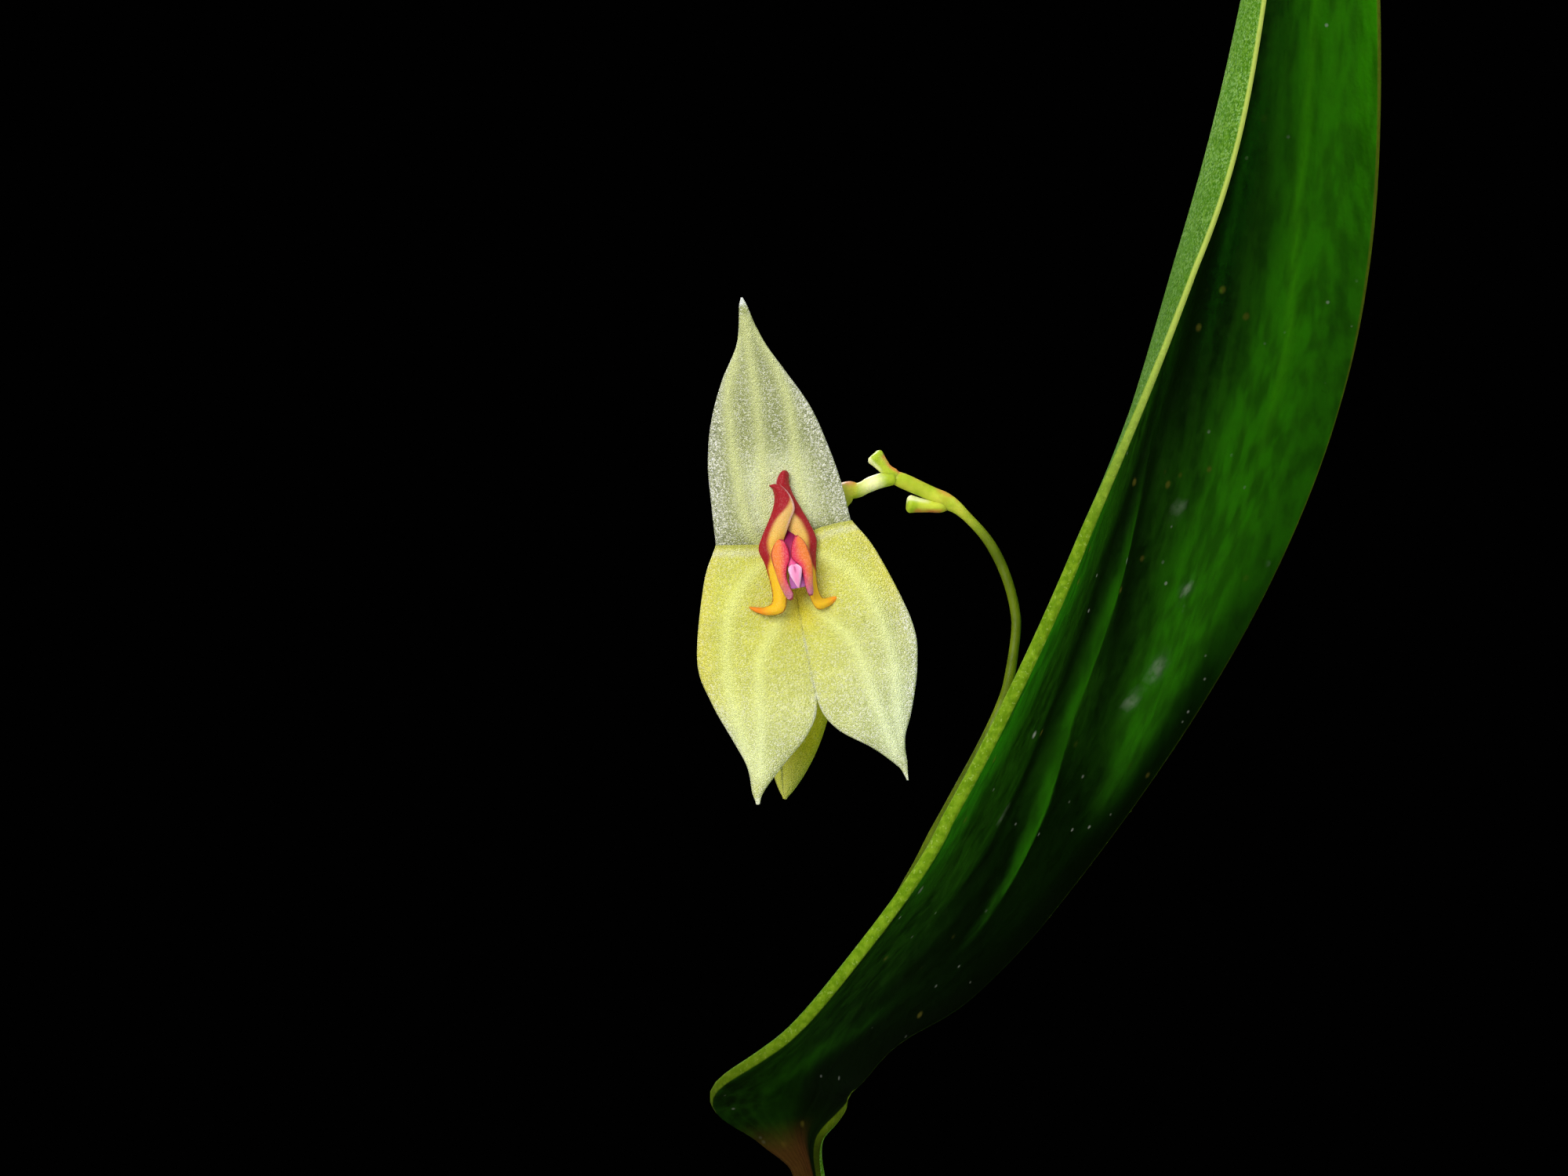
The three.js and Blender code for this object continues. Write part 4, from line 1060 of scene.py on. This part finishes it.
def budStalkRadius(t):
    return 0.15 + 0.04 * t


def budStalkYouth(t):
    return 0.4 + 0 * t


def floweringStem(stalk, flower):
    # the stem, its stubs, and the stalks of its bud and of its flower
    joints = stalk["joints"]
    shells = [stalkShell(stalk["peduncle"], 170, stalkRadius, joints)]
    shells += [stubShell(points, redSide) for points, redSide in stalk["stubs"]]
    shells.append(stalkShell(stalk["budStalk"], 60, budStalkRadius, joints, budStalkYouth))
    if flower:
        shells.append(stalkShell(stalk["ovary"], 60, ovaryRadius, joints, ovaryYouthAndGleam, stalkShape["waist"]))
    return joined(shells)


firstStalk = {  # measured from the axis point
    "peduncle": [
        (0.85, 4.2, -16.2), (0.72, 4.9, -15.1), (0.8, 5.6, -14.0), (1.1, 6.1, -13.0), (1.4, 6.4, -12.4),
        (1.75, 6.2, -11.34), (2.26, 5.3, -9.85), (2.86, 4.3, -8.38), (3.5, 3.4, -7.12), (3.91, 3.0, -6.29),
        (4.47, 2.6, -5.27), (5.22, 2.3, -3.84), (5.63, 2.2, -2.93), (5.81, 2.1, -2.32), (5.98, 2.05, -1.11),
        (5.94, 2.05, -0.51), (5.79, 2.0, 0.1), (5.55, 2.0, 0.71), (5.19, 1.92, 1.31), (4.62, 1.85, 1.92),
        (4.24, 1.8, 2.2), (3.5, 1.72, 2.56), (2.95, 1.62, 2.8), (2.66, 1.58, 2.92)],
    "joints": [(4.2, 1.8, 2.22), (2.8, 1.6, 2.86)],
    "ovary": [
        (2.84, 1.6, 2.86), (2.3, 1.56, 2.70), (1.93, 1.56, 2.52), (1.6, 1.58, 2.46), (0.95, 1.62, 1.9),
        (0.3, 1.3, 1.25), (0.05, 0.5, 0.95)],
    "budStalk": [(1.75, 1.6, 2.5), (1.3, 2.2, 1.95), (0.9, 2.55, 1.4), (0.64, 2.7, 0.8)],
    "bud": [(0.62, 2.72, 0.75), (0.46, 2.9, -1.6), (0.28, 2.8, -3.6), (0.02, 2.5, -5.45)],
}
firstStubs = [  # the stub's line, and the side that blushes
    ([(4.3, 1.84, 2.17), (3.85, 1.75, 2.1), (3.25, 1.68, 2.16)], (0.2, 0, -1)),
    ([(2.98, 1.62, 2.8), (2.68, 1.58, 2.99), (2.34, 1.55, 3.36)], (1, 0, 0.6)),
]
otherStalks = [
    {"shoot": 1, "side": (-0.3, 0.95), "arch": 13, "height": 20, "bud": 2.8, "flower": True},
    {"shoot": 3, "side": (-0.95, 0.3), "arch": 11, "height": 15, "bud": 2.2, "flower": False},
    {"shoot": 5, "side": (0.75, -0.66), "arch": 12, "height": 16, "bud": 2.4, "flower": False},
]


def archedStalk(setting):
    shoot = otherShoots[setting["shoot"]]
    base = shootTop(shoot)
    heading = math.radians(shoot["heading"])
    inward = np.array([-math.cos(heading), -math.sin(heading), 0])
    out = unit(np.array([*setting["side"], 0.0]))
    arch, height = setting["arch"], setting["height"]

    def at(reach, rise, inside=0.0):
        return base + out * reach + inward * inside + np.array([0, 0, rise])

    joint = at(arch * 0.84, height * 0.985)
    tip = at(arch + 1.26, height - 1.4)
    end = tip + out * 0.5 + np.array([0, 0, -setting["bud"]])
    return {
        "peduncle": [
            at(0, -1.2, 0.0), at(0, 0.6, 0.9), at(0, height * 0.3, 1.4), at(arch * 0.14, height * 0.62, 1.2),
            at(arch * 0.5, height * 0.88, 0.5), joint, at(arch, height)],
        "joints": [joint],
        "stubs": [([joint, joint + (0, 0, 0.5), joint - out * 0.6 + (0, 0, 1)], out)],
        "budStalk": [
            at(arch, height), at(arch + 0.8, height - 0.3), at(arch + 1.2, height - 1.1),
            at(arch + 1.26, height - 1.45)],
        "bud": [tip, (tip + end) / 2 + out * 0.1, end],
        "ovary": [
            at(arch, height), at(arch + 1.0, height + 0.35), at(arch + 2.1, height + 0.3),
            at(arch + 2.75, height + 0.25)],
        "out": out,
        "flowerCentre": at(arch + 3.3, height + 0.3),
    }


def budFinish():
    finish = Finish("bud_skin")
    around = finish.mark("around")
    along = finish.mark("along")
    seam = (around * (3 * math.pi)).wave().size()
    colour = finish.mix(finish.noise(0.9, 3).ease(0.3, 0.7), (0.44, 0.45, 0.01), (0.62, 0.62, 0.03))
    colour = finish.mix(1 - seam.ease(0.0, 0.22), colour, (0.13, 0.16, 0.01))
    colour = finish.mix(along.ease(0.75, 1.0) * 0.6, colour, (0.55, 0.60, 0.16))
    colour = finish.mix(finish.cellGreys(17.0).ease(0.72, 0.95) * 0.2, colour, (0.80, 0.82, 0.30))
    normal = finish.bump(finish.cells(17.0), 0.05, 0.7)
    return finish.surface(colour, 0.45, normal, flesh(0.2, 0.2, 0.2, (1.0, 0.9, 0.1)))


def budShell(points, width, split):
    rows, sides = 90, 60
    t = np.linspace(0, 1, rows)
    line = evenLine(points, t)
    _, side, other = turnedFrames(line)
    swell = np.sin(np.pi * (0.1 + t * 0.9) ** 1.1)[:, None] ** 0.75
    radius = np.maximum(0.045, width / 2 * swell)
    turn = turns(sides)
    seam = np.abs(np.sin(1.5 * turn))  # three sepals meet at three seams
    groove = 0.16 * bell(seam, 0.16) * ease(0.02, 0.2, t)[:, None] * split
    ribs = 0.03 * np.cos(9 * turn) * swell
    shape = radius * (0.97 + 0.07 * seam - groove + ribs)
    around = np.broadcast_to(turn / (2 * np.pi), shape.shape)
    along = np.broadcast_to(t[:, None], shape.shape)
    rings = line[:, None] + spokes(side, other, turn) * shape[..., None]
    return loft(rings, {"around": around, "along": along})


def makeStalks():
    finish, skin = stalkFinish(), budFinish()
    first = {name: [axisPoint + p for p in points] for name, points in firstStalk.items()}
    first["stubs"] = [([axisPoint + p for p in points], redSide) for points, redSide in firstStubs]
    rows = [(first, True, 1.9, 1.0)]
    for setting in otherStalks:
        rows.append((archedStalk(setting), setting["flower"], setting["bud"] * 0.42, 0.6))
    for k, (stalk, flower, width, split) in enumerate(rows):
        shell = floweringStem(stalk, flower)
        addPiece(f"flower_stem_{k + 1}", shell, finish, [f"inflorescence_{k + 1}"])
        addPiece(f"closed_bud_{k + 1}", budShell(stalk["bud"], width, split), skin, [f"bud_{k + 1}"])


makeStalks()
print("flowering stems made")

# Flowers, in their own frame: x across, y towards the upper sepal's tip, z out, in mm
dorsalEdges = {
    "left": [
        (-1.81, 0.28), (-1.79, 0.5), (-1.72, 1.5), (-1.62, 2.5), (-1.36, 3.5), (-0.89, 4.5), (-0.35, 5.3),
        (-0.16, 5.9), (-0.10, 6.3), (-0.03, 6.5)],
    "right": [
        (1.73, 0.28), (1.71, 0.5), (1.64, 1.5), (1.47, 2.5), (1.21, 3.5), (0.74, 4.5), (0.34, 5.3),
        (0.15, 5.9), (0.08, 6.3), (0.02, 6.5)],
}
lateralEdges = {  # each lobe's outer and inner edge, from the seam under the upper sepal to its tip
    "left": [
        [(-1.80, 0.42), (-2.27, -0.5), (-2.79, -2.4), (-2.63, -3.5), (-2.24, -4.6), (-1.99, -5.3),
         (-1.99, -5.9), (-1.97, -6.27)],
        [(0.04, 0.08), (0.04, -0.9), (0.04, -2.4), (0.03, -3.95), (-0.33, -4.7), (-1.1, -5.35),
         (-1.70, -5.9), (-1.88, -6.27)],
    ],
    "right": [
        [(1.74, 0.42), (2.22, -0.5), (2.78, -2.4), (2.71, -3.5), (2.36, -4.6), (2.03, -5.3),
         (1.98, -5.9), (1.96, -6.35)],
        [(-0.04, 0.08), (-0.04, -0.9), (-0.04, -2.4), (0.04, -3.95), (0.38, -4.7), (1.2, -5.33),
         (1.76, -5.9), (1.92, -6.35)],
    ],
}
petalRows = {
    "left": [  # outer edge, inner edge, from the upper hook to the lower one
        ((-0.19, 1.67), (-0.17, 1.67)), ((-0.12, 1.60), (-0.01, 1.65)), ((-0.09, 1.50), (0.13, 1.58)),
        ((-0.10, 1.30), (0.29, 1.33)), ((-0.19, 1.05), (0.35, 1.00)), ((-0.37, 0.74), (0.22, 0.76)),
        ((-0.58, 0.42), (0.05, 0.46)), ((-0.73, 0.10), (-0.10, 0.15)), ((-0.64, -0.30), (-0.12, -0.30)),
        ((-0.59, -0.80), (-0.18, -0.80)), ((-0.59, -1.12), (-0.26, -1.22)), ((-0.66, -1.31), (-0.40, -1.55)),
        ((-0.86, -1.37), (-0.76, -1.57)), ((-1.06, -1.34), (-1.03, -1.46)), ((-1.24, -1.28), (-1.23, -1.31)),
    ],
    "right": [
        ((0.29, 1.98), (0.25, 1.98)), ((0.35, 1.88), (0.10, 1.85)), ((0.32, 1.62), (0.0, 1.66)),
        ((0.38, 1.30), (0.0, 1.35)), ((0.53, 0.88), (0.02, 0.9)), ((0.65, 0.55), (0.08, 0.5)),
        ((0.75, 0.12), (0.15, 0.12)), ((0.65, -0.35), (0.22, -0.35)), ((0.57, -0.85), (0.28, -0.85)),
        ((0.56, -1.22), (0.34, -1.28)), ((0.64, -1.40), (0.46, -1.63)), ((0.82, -1.42), (0.74, -1.62)),
        ((1.03, -1.36), (1.00, -1.49)), ((1.29, -1.36), (1.28, -1.39)),
    ],
}
lipRows = {
    "left": [
        ((-0.16, 0.27), (-0.10, 0.26)), ((-0.30, 0.18), (-0.03, 0.14)), ((-0.43, -0.02), (0.02, -0.08)),
        ((-0.45, -0.22), (0.0, -0.28)), ((-0.42, -0.45), (-0.10, -0.45)), ((-0.38, -0.75), (-0.17, -0.73)),
        ((-0.32, -1.02), (-0.12, -1.0)), ((-0.26, -1.20), (-0.07, -1.15)), ((-0.18, -1.30), (-0.12, -1.29)),
    ],
    "right": [
        ((0.30, 0.29), (0.24, 0.30)), ((0.38, 0.20), (0.15, 0.16)), ((0.48, 0.0), (0.07, -0.04)),
        ((0.53, -0.27), (0.05, -0.26)), ((0.53, -0.45), (0.20, -0.45)), ((0.50, -0.72), (0.26, -0.72)),
        ((0.45, -1.0), (0.27, -1.02)), ((0.43, -1.18), (0.29, -1.2)), ((0.39, -1.28), (0.33, -1.28)),
    ],
}
veinLines = {
    "dorsal": [
        [(-0.6, 0.2), (-0.89, 0.81), (-0.93, 2.37), (-0.80, 4.07), (-0.48, 4.91), (-0.2, 5.6)],
        [(-0.3, 0.2), (-0.40, 1.17), (-0.26, 2.24), (-0.12, 3.66), (-0.06, 5.11), (-0.03, 5.92)],
        [(0.4, 0.2), (0.51, 1.0), (0.62, 2.27), (0.66, 3.8), (0.44, 4.84), (0.16, 5.6)],
    ],
    "lateral": [
        [(0.5, -0.2), (1.05, -0.5), (1.66, -1.2), (1.97, -2.2), (2.1, -3.3), (2.04, -4.1), (1.9, -5.4)],
        [(0.3, -1.4), (0.66, -1.9), (1.17, -2.6), (1.36, -3.4), (1.5, -4.4), (1.75, -5.6)],
    ],
}
flowerShape = {
    "sepalThickness": 0.22, "petalThickness": 0.09, "lipThickness": 0.1,
    "petalDepth": 0.34, "petalLap": {"left": 0.1, "right": -0.1}, "lipDepth": 0.66, "columnDepth": 0.72,
    "lobeBulge": {"left": 0.02, "right": 0.13}, "dorsalBulge": -0.4,
    "sepalGrid": (150, 56), "petalGrid": (90, 26), "lipGrid": (60, 24),
}


def sepalDepth(x, y):
    # the sepals cup gently towards the viewer
    return -0.3 + 0.016 * np.hypot(x, y) ** 2 - 0.03 * x**2


def lineDistance(x, y, points):
    line = smoothLine(points, np.linspace(0, 1, 60))
    far = np.full(x.shape, 1e9)
    for (ax, ay), (bx, by) in zip(line[:-1], line[1:]):
        dx, dy = bx - ax, by - ay
        along = np.clip(((x - ax) * dx + (y - ay) * dy) / (dx * dx + dy * dy), 0, 1)
        far = np.minimum(far, np.hypot(x - ax - along * dx, y - ay - along * dy))
    return far


def veinStrength(x, y, kind, width):
    return np.max([bell(lineDistance(x, y, points), width) for points in veinLines[kind]], axis=0)


def sheetShell(edges, grid, thickness, depthAt, relief=None, bulge=0.0, tints=None):
    # a thin sheet between two edges in the flower's plane
    rows, columns = grid
    t = np.linspace(0, 1, rows)
    outer, inner = smoothLine(edges[0], t), smoothLine(edges[1], t)
    s = (1 - np.cos(np.linspace(0, np.pi, columns) * 0.94 + 0.03 * np.pi)) / 2
    s = (s - s[0]) / (s[-1] - s[0])
    flat = inner[:, None] + (outer - inner)[:, None] * s[None, :, None]
    flat[..., 1] += bulge * np.sin(s * np.pi) * (ease(0.35, 0, t) ** 2)[:, None]
    x, y = flat[..., 0], flat[..., 1]
    width = np.linalg.norm(outer - inner, axis=1)[:, None] / 2 + 1e-4
    w = 2 * s - 1 + 0 * width
    along = t[:, None] + 0 * w
    middle = np.concatenate([flat, depthAt(x, y, w, along)[..., None]], -1)
    half = thickness / 2
    rimFrom = 1 - np.clip(half / width, 0.02, 0.75)
    rounded = np.sqrt(np.clip(1 - (np.clip(np.abs(w) - rimFrom, 0, 1) / (1 - rimFrom)) ** 2, 0, 1))
    vein = relief(x, y) if relief else 0 * w
    body = half * np.minimum(1, width / half * 0.9)
    marks = {"sheetPlace": np.stack([w, along, width + 0 * w], -1), "vein": vein}
    marks |= {name: tint(x, y) for name, tint in (tints or {}).items()}
    return blade(middle, (body + 0.035 * vein) * rounded, body * rounded, marks, (0, 0, 1))


def glisten(finish, colour, amount, dim):
    # painted glints: single cells painted as if catching the light, each with its own brightness, and others
    # painted dimmer
    cell = finish.cellGreys(31.0)
    patch = 0.8 + 0.35 * finish.noise(2.2, 2).ease(0.3, 0.7)
    colour = finish.mix((1 - cell.ease(0.25, 0.5)) * amount * patch, colour, dim)
    return finish.mix(cell.ease(0.56, 0.76) * amount * patch, colour, (1.0, 1.0, 0.93))


def sepalSurface(finish, colour):
    height = finish.cells(31.0) * -1.0 + finish.noise(7.0, 2) * 0.4
    normal = finish.bump(height, 0.04, 1.0)
    return finish.surface(colour, 0.33, normal, flesh(0.3, 0.2, 0.6, (1.0, 1.0, 0.55)))


def dorsalFinish():
    finish = Finish("pale_sepal")
    w, along, _ = finish.marks("sheetPlace")
    vein = finish.mark("vein")
    glow = finish.mark("glow")
    edge = w.size().ease(0.6, 0.97)
    colour = finish.mix(finish.noise(0.8, 3).ease(0.3, 0.7), (0.36, 0.40, 0.15), (0.46, 0.50, 0.20))
    colour = finish.mix(edge * 0.8, colour, (0.56, 0.59, 0.42))
    colour = finish.mix(along.ease(0.55, 0.85) * 0.6, colour, (0.46, 0.52, 0.18))
    # painted light glowing through the middle of the upper sepal's foot
    colour = finish.mix(glow * 0.95, colour, (0.86, 0.92, 0.54))
    colour = finish.mix((1 - along.ease(0.03, 0.10)) * 0.6, colour, (0.34, 0.38, 0.07))
    # painted glints, strongest at the margins
    paintedGlint = (0.5 + 0.3 * edge) * (1 - vein * 0.7) * (1 - glow * 0.6)
    colour = glisten(finish, colour, paintedGlint, (0.24, 0.27, 0.12))
    colour = finish.mix(vein * 0.75, colour, (0.74, 0.79, 0.36))
    colour = finish.mix(along.ease(0.87, 0.93), colour, (0.86, 0.92, 0.84))
    return sepalSurface(finish, colour)


def lateralFinish():
    finish = Finish("yellow_sepal")
    w, along, _ = finish.marks("sheetPlace")
    vein = finish.mark("vein")
    pale = finish.mark("pale")
    glow = finish.mark("glow")
    shade = finish.noise(0.9, 3).ease(0.3, 0.7)
    colour = finish.mix(shade, (0.66, 0.67, 0.10), (0.79, 0.80, 0.13))
    colour = finish.mix(pale, colour, finish.mix(shade, (0.55, 0.63, 0.29), (0.68, 0.76, 0.42)))
    edge = w.ease(0.55, 0.97)
    warm = edge * 0.6 * (1 - along.ease(0.3, 0.55)) * (1 - pale)
    colour = finish.mix(warm, colour, (0.84, 0.76, 0.10))
    margin = (w.ease(0.7, 0.98) + 0.4 * (-w).ease(0.75, 0.98)) * pale.ease(0.1, 0.6)
    colour = finish.mix(margin * 0.55, colour, (0.80, 0.86, 0.66))
    # painted glints, strongest on the pale parts and the margins
    paintedGlint = (0.25 + 0.3 * pale + 0.3 * margin) * (1 - vein * 0.75)
    colour = glisten(finish, colour, paintedGlint, (0.44, 0.48, 0.17))
    bright = finish.mix(pale, (0.88, 0.93, 0.32), (0.88, 0.97, 0.60))
    colour = finish.mix(vein * 0.72, colour, bright)
    # a pale line along the seam between the lobes, broken up into painted glints
    seam = (1 - (w + 1).ease(0.02, 0.1)) * along.ease(0.2, 0.26) * (1 - along.ease(0.5, 0.6))
    colour = finish.mix(seam * finish.noise(5.0, 2).ease(0.35, 0.6) * 0.8, colour, (0.88, 0.92, 0.66))
    # painted highlight: a pale line along the fold at the lobes' top edge
    fold = (along - 0.035).size().ease(0.0, 0.028)
    colour = finish.mix((1 - fold) * 0.45, colour, (0.86, 0.88, 0.62))
    colour = finish.mix((1 - along.ease(0.004, 0.022)) * 0.8, colour, (0.46, 0.48, 0.08))
    # the deep yellow round the petals' foot, brightened as painted light
    colour = finish.mix(glow * (1 - vein * 0.5), colour, (0.88, 0.76, 0.03))
    colour = finish.mix(along.ease(0.9, 0.98), colour, (0.88, 0.94, 0.62))
    return sepalSurface(finish, colour)


def petalFinish():
    finish = Finish("petal_skin")
    w, along, _ = finish.marks("sheetPlace")
    body = finish.mix(along.ease(0.3, 0.65), (0.74, 0.46, 0.14), (0.86, 0.51, 0.015))
    # the crimson edge narrows down the petal and ends in a rounded blot at its widest point
    reach = 0.66 + 1.9 * (1 - along.ease(0.12, 0.38)) + 0.2 * along.ease(0.42, 0.52)
    reach = reach * (1 - along.ease(0.53, 0.62))
    crimson = (w - 1 + reach).ease(-0.24, 0.24)
    colour = finish.mix(crimson, body, (0.36, 0.010, 0.018))
    dots = finish.noise(16.0, 1).ease(0.3, 0.5)
    thread = w.size().ease(0.66, 0.84) * along.ease(0.5, 0.56) * dots
    colour = finish.mix(thread * 0.9, colour, (0.36, 0.015, 0.01))
    hook = along.ease(0.8, 0.93)
    colour = finish.mix(hook * 0.85, colour, (0.88, 0.20, 0.01))
    pale = (1 - (w + 1).ease(0.1, 0.34)) * along.ease(0.03, 0.08) * (1 - along.ease(0.36, 0.46))
    colour = finish.mix(pale * 0.8, colour, (0.80, 0.48, 0.48))
    # painted glints: a few cells painted pale
    colour = finish.mix(finish.cellGreys(34.0).ease(0.7, 0.8) * 0.04, colour, (1.0, 0.8, 0.7))
    normal = finish.bump(finish.cells(40.0) * -1.0, 0.02, 0.6)
    return finish.surface(colour, 0.42, normal, flesh(0.15, 0.1, 0.2))


def lipFinish():
    finish = Finish("lip_velvet")
    w, along, _ = finish.marks("sheetPlace")
    colour = finish.mix(w.ease(-0.75, 0.3), (0.70, 0.02, 0.09), (0.84, 0.22, 0.035))
    colour = finish.mix(along.ease(0.55, 0.9), colour, (0.50, 0.15, 0.24))
    dots = finish.cellGreys(46.0)
    colour = finish.mix(dots.ease(0.6, 0.8) * 0.18, colour, (0.95, 0.58, 0.50))
    colour = finish.mix((1 - dots.ease(0.2, 0.4)) * 0.16, colour, (0.40, 0.01, 0.04))
    rim = w.size().ease(0.72, 0.9).most(along.ease(0.94, 0.98)).most(1 - along.ease(0.015, 0.05))
    colour = finish.mix(rim * 0.8, colour, (0.30, 0.008, 0.035))
    normal = finish.bump(finish.cells(46.0) * -1.0, 0.02, 0.5)
    return finish.surface(colour, 0.4, normal, flesh(0.15, 0.1, 0.25))


def columnFinish():
    finish = Finish("column_wax")
    part = finish.mark("part")
    along = finish.mark("along")
    across = finish.mark("across").size()
    # the stalk dark magenta, darkened further as painted shade where it sits in the gap between the lip's
    # lobes
    body = finish.mix(along.ease(0.3, 0.85), (0.20, 0.002, 0.06), (0.72, 0.08, 0.26))
    cap = finish.mix(across.ease(0.3, 0.95), (0.86, 0.30, 0.54), (0.90, 0.52, 0.74))
    groove = (1 - across.ease(0.05, 0.28)) * along.ease(0.12, 0.3) * (1 - along.ease(0.4, 0.62))
    cap = finish.mix(groove * 0.75, cap, (0.44, 0.04, 0.16))
    colour = finish.mix(part.ease(0.4, 0.6), body, cap)
    stigma = finish.mix(along, (0.34, 0.06, 0.26), (0.46, 0.16, 0.42))
    colour = finish.mix(part.ease(1.4, 1.6), colour, stigma)
    normal = finish.bump(finish.noise(12.0, 2), 0.02, 0.4)
    return finish.surface(colour, 0.38, normal, flesh(0.25, 0.12, 0.15))


columnParts = [  # x, y, out from the column's depth, half width, half depth: the stalk, the cap, the stigma
    [(0.10, 0.62, -0.8, 0.04, 0.04), (0.09, 0.45, -0.62, 0.16, 0.1), (0.07, 0.1, -0.4, 0.2, 0.14),
     (0.05, -0.3, -0.16, 0.15, 0.12), (0.07, -0.6, -0.06, 0.12, 0.09)],
    [(0.075, -0.42, 0.03, 0.07, 0.02), (0.075, -0.46, 0.05, 0.13, 0.05), (0.08, -0.55, 0.07, 0.175, 0.07),
     (0.08, -0.70, 0.07, 0.145, 0.07), (0.085, -0.88, 0.04, 0.08, 0.05), (0.09, -1.03, 0.01, 0.018, 0.02)],
    [(0.08, -0.56, -0.12, 0.13, 0.05), (0.085, -0.75, -0.1, 0.19, 0.06), (0.09, -0.98, -0.1, 0.2, 0.06),
     (0.09, -1.03, -0.1, 0.17, 0.04)],
]


def columnShell():
    turn = turns(28)
    t = np.linspace(0, 1, 36)
    shells = []
    for part, stations in enumerate(columnParts):
        x, y, z, wide, deep = smoothLine(stations, t).T[..., None]
        z = z + flowerShape["columnDepth"]
        rings = np.stack([x + np.cos(turn) * wide, y + 0 * turn, z + np.sin(turn) * deep], -1)
        shape = rings.shape[:2]
        marks = {"part": np.full(shape, float(part)), "along": np.broadcast_to(t[:, None], shape),
                 "across": np.broadcast_to(np.cos(turn), shape)}
        shells.append(loft(rings, marks))
    return joined(shells)


def dorsalVein(x, y):
    return veinStrength(x, y, "dorsal", 0.15)


def dorsalDepth(x, y, w, t):
    tucked = 0.12 * ease(0.8, 0.25, y)  # its foot lies behind the lower sepals
    return sepalDepth(x, y) - 0.10 * w**2 * ease(1.0, 0.7, t) + 0.02 * np.sin(y * 2.1 + x) - tucked


def dorsalGlow(x, y):
    # painted light: the middle of the upper sepal's foot painted brighter, as if light shone through it
    return np.exp(-(((x - 0.05) / 0.95) ** 4)) * ease(3.0, 1.8, y) * ease(0.3, 0.8, y)


def lateralVein(x, y):
    return veinStrength(np.abs(x), y, "lateral", 0.16)


def lateralDepth(x, y, w, t):
    puff = 0.2 * (1 - w**2) * (0.35 + 0.65 * ease(0.0, 0.2, t)) * ease(1.0, 0.7, t)
    return sepalDepth(x, y) + puff + 0.015 * np.sin(y * 2.3)


def lateralPale(x, y):
    outward = 0.26 * np.clip(x - 0.3, 0, 3) * ease(-0.9, -2.6, y)
    return np.clip(outward + 0.62 * ease(-2.0, -5.4, y), 0, 1)


def lateralGlow(x, y):
    # the deep yellow around the foot of the petals, painted brighter as light against the shadow of the lip
    # and petals
    return bell(x - 0.05, 0.62) * ease(-2.5, -1.5, y) * 0.9


def petalDepth(x, y, w, t):
    hooked = 0.35 * ease(0.75, 1.0, t) + 0.12 * ease(0.35, 0.0, t)
    return flowerShape["petalDepth"] - hooked - 0.14 * (w + 0.2) ** 2


def lipDepth(x, y, w, t):
    puff = 0.07 * (1 - w**2) * np.sin(np.pi * np.clip(t, 0.04, 0.96))
    return flowerShape["lipDepth"] + puff - 0.05 * (w + 1)


def raised(shell, height):
    points, faces, marks = shell
    return points + np.array([0, 0, height]), faces, marks


def placed(shell, centre, across, up):
    points, faces, marks = shell
    return centre + points @ np.array([across, up, np.cross(across, up)]), faces, marks


flowerFinishes = {
    "dorsal": dorsalFinish(), "lateral": lateralFinish(), "petal": petalFinish(), "lip": lipFinish(),
    "column": columnFinish(),
}


def makeFlower(number, centre, across, up, fineness):
    grids = {}
    for kind in ("sepal", "petal", "lip"):
        grids[kind] = [int(count * fineness) for count in flowerShape[f"{kind}Grid"]]
    thick = flowerShape["sepalThickness"]
    dorsal = sheetShell((dorsalEdges["right"], dorsalEdges["left"]), grids["sepal"], thick, dorsalDepth,
                        dorsalVein, flowerShape["dorsalBulge"], {"glow": dorsalGlow})
    lobes = []
    for side, edges in lateralEdges.items():
        lobes.append(sheetShell(edges, grids["sepal"], thick, lateralDepth, lateralVein,
                                flowerShape["lobeBulge"][side], {"pale": lateralPale, "glow": lateralGlow}))
    petals = {}
    for side, rows in petalRows.items():  # the left petal laps over the right one
        petal = sheetShell(list(zip(*rows)), grids["petal"], flowerShape["petalThickness"], petalDepth)
        petals[side] = raised(petal, flowerShape["petalLap"][side])
    lips = []
    for rows in lipRows.values():
        lips.append(sheetShell(list(zip(*rows)), grids["lip"], flowerShape["lipThickness"], lipDepth))
    pieces = [
        ("upper_sepal", dorsal, "dorsal", "pale_sepal", "dorsal_sepal"),
        ("lower_sepals", joined(lobes), "lateral", "yellow_sepal", "lateral_sepals"),
        ("left_petal", petals["left"], "petal", "petal", "petal_left"),
        ("right_petal", petals["right"], "petal", "petal", "petal_right"),
        ("flower_lip", joined(lips), "lip", "lip", "lip"),
        ("flower_column", columnShell(), "column", "column", "column"),
    ]
    for name, shell, finish, slotName, node in pieces:
        shell = placed(shell, centre, across, up)
        addPiece(f"{name}_{number}", shell, flowerFinishes[finish], [f"{node}_{number}"])


# the first flower leans and faces the camera, the second hangs upright at the end of its own stalk
flowers = {"lean": math.radians(10.4), "centre": (0.1, 0, 1.0), "secondFineness": 0.6}
leanX, leanZ = math.cos(flowers["lean"]), math.sin(flowers["lean"])
makeFlower(1, axisPoint + flowers["centre"], np.array([leanX, 0, leanZ]), np.array([-leanZ, 0, leanX]), 1.0)
secondStalk = archedStalk(otherStalks[0])
upward = np.array([0, 0, 1.0])
across = np.cross(upward, secondStalk["out"])
makeFlower(2, secondStalk["flowerCentre"], across, upward, flowers["secondFineness"])
print("flowers made")
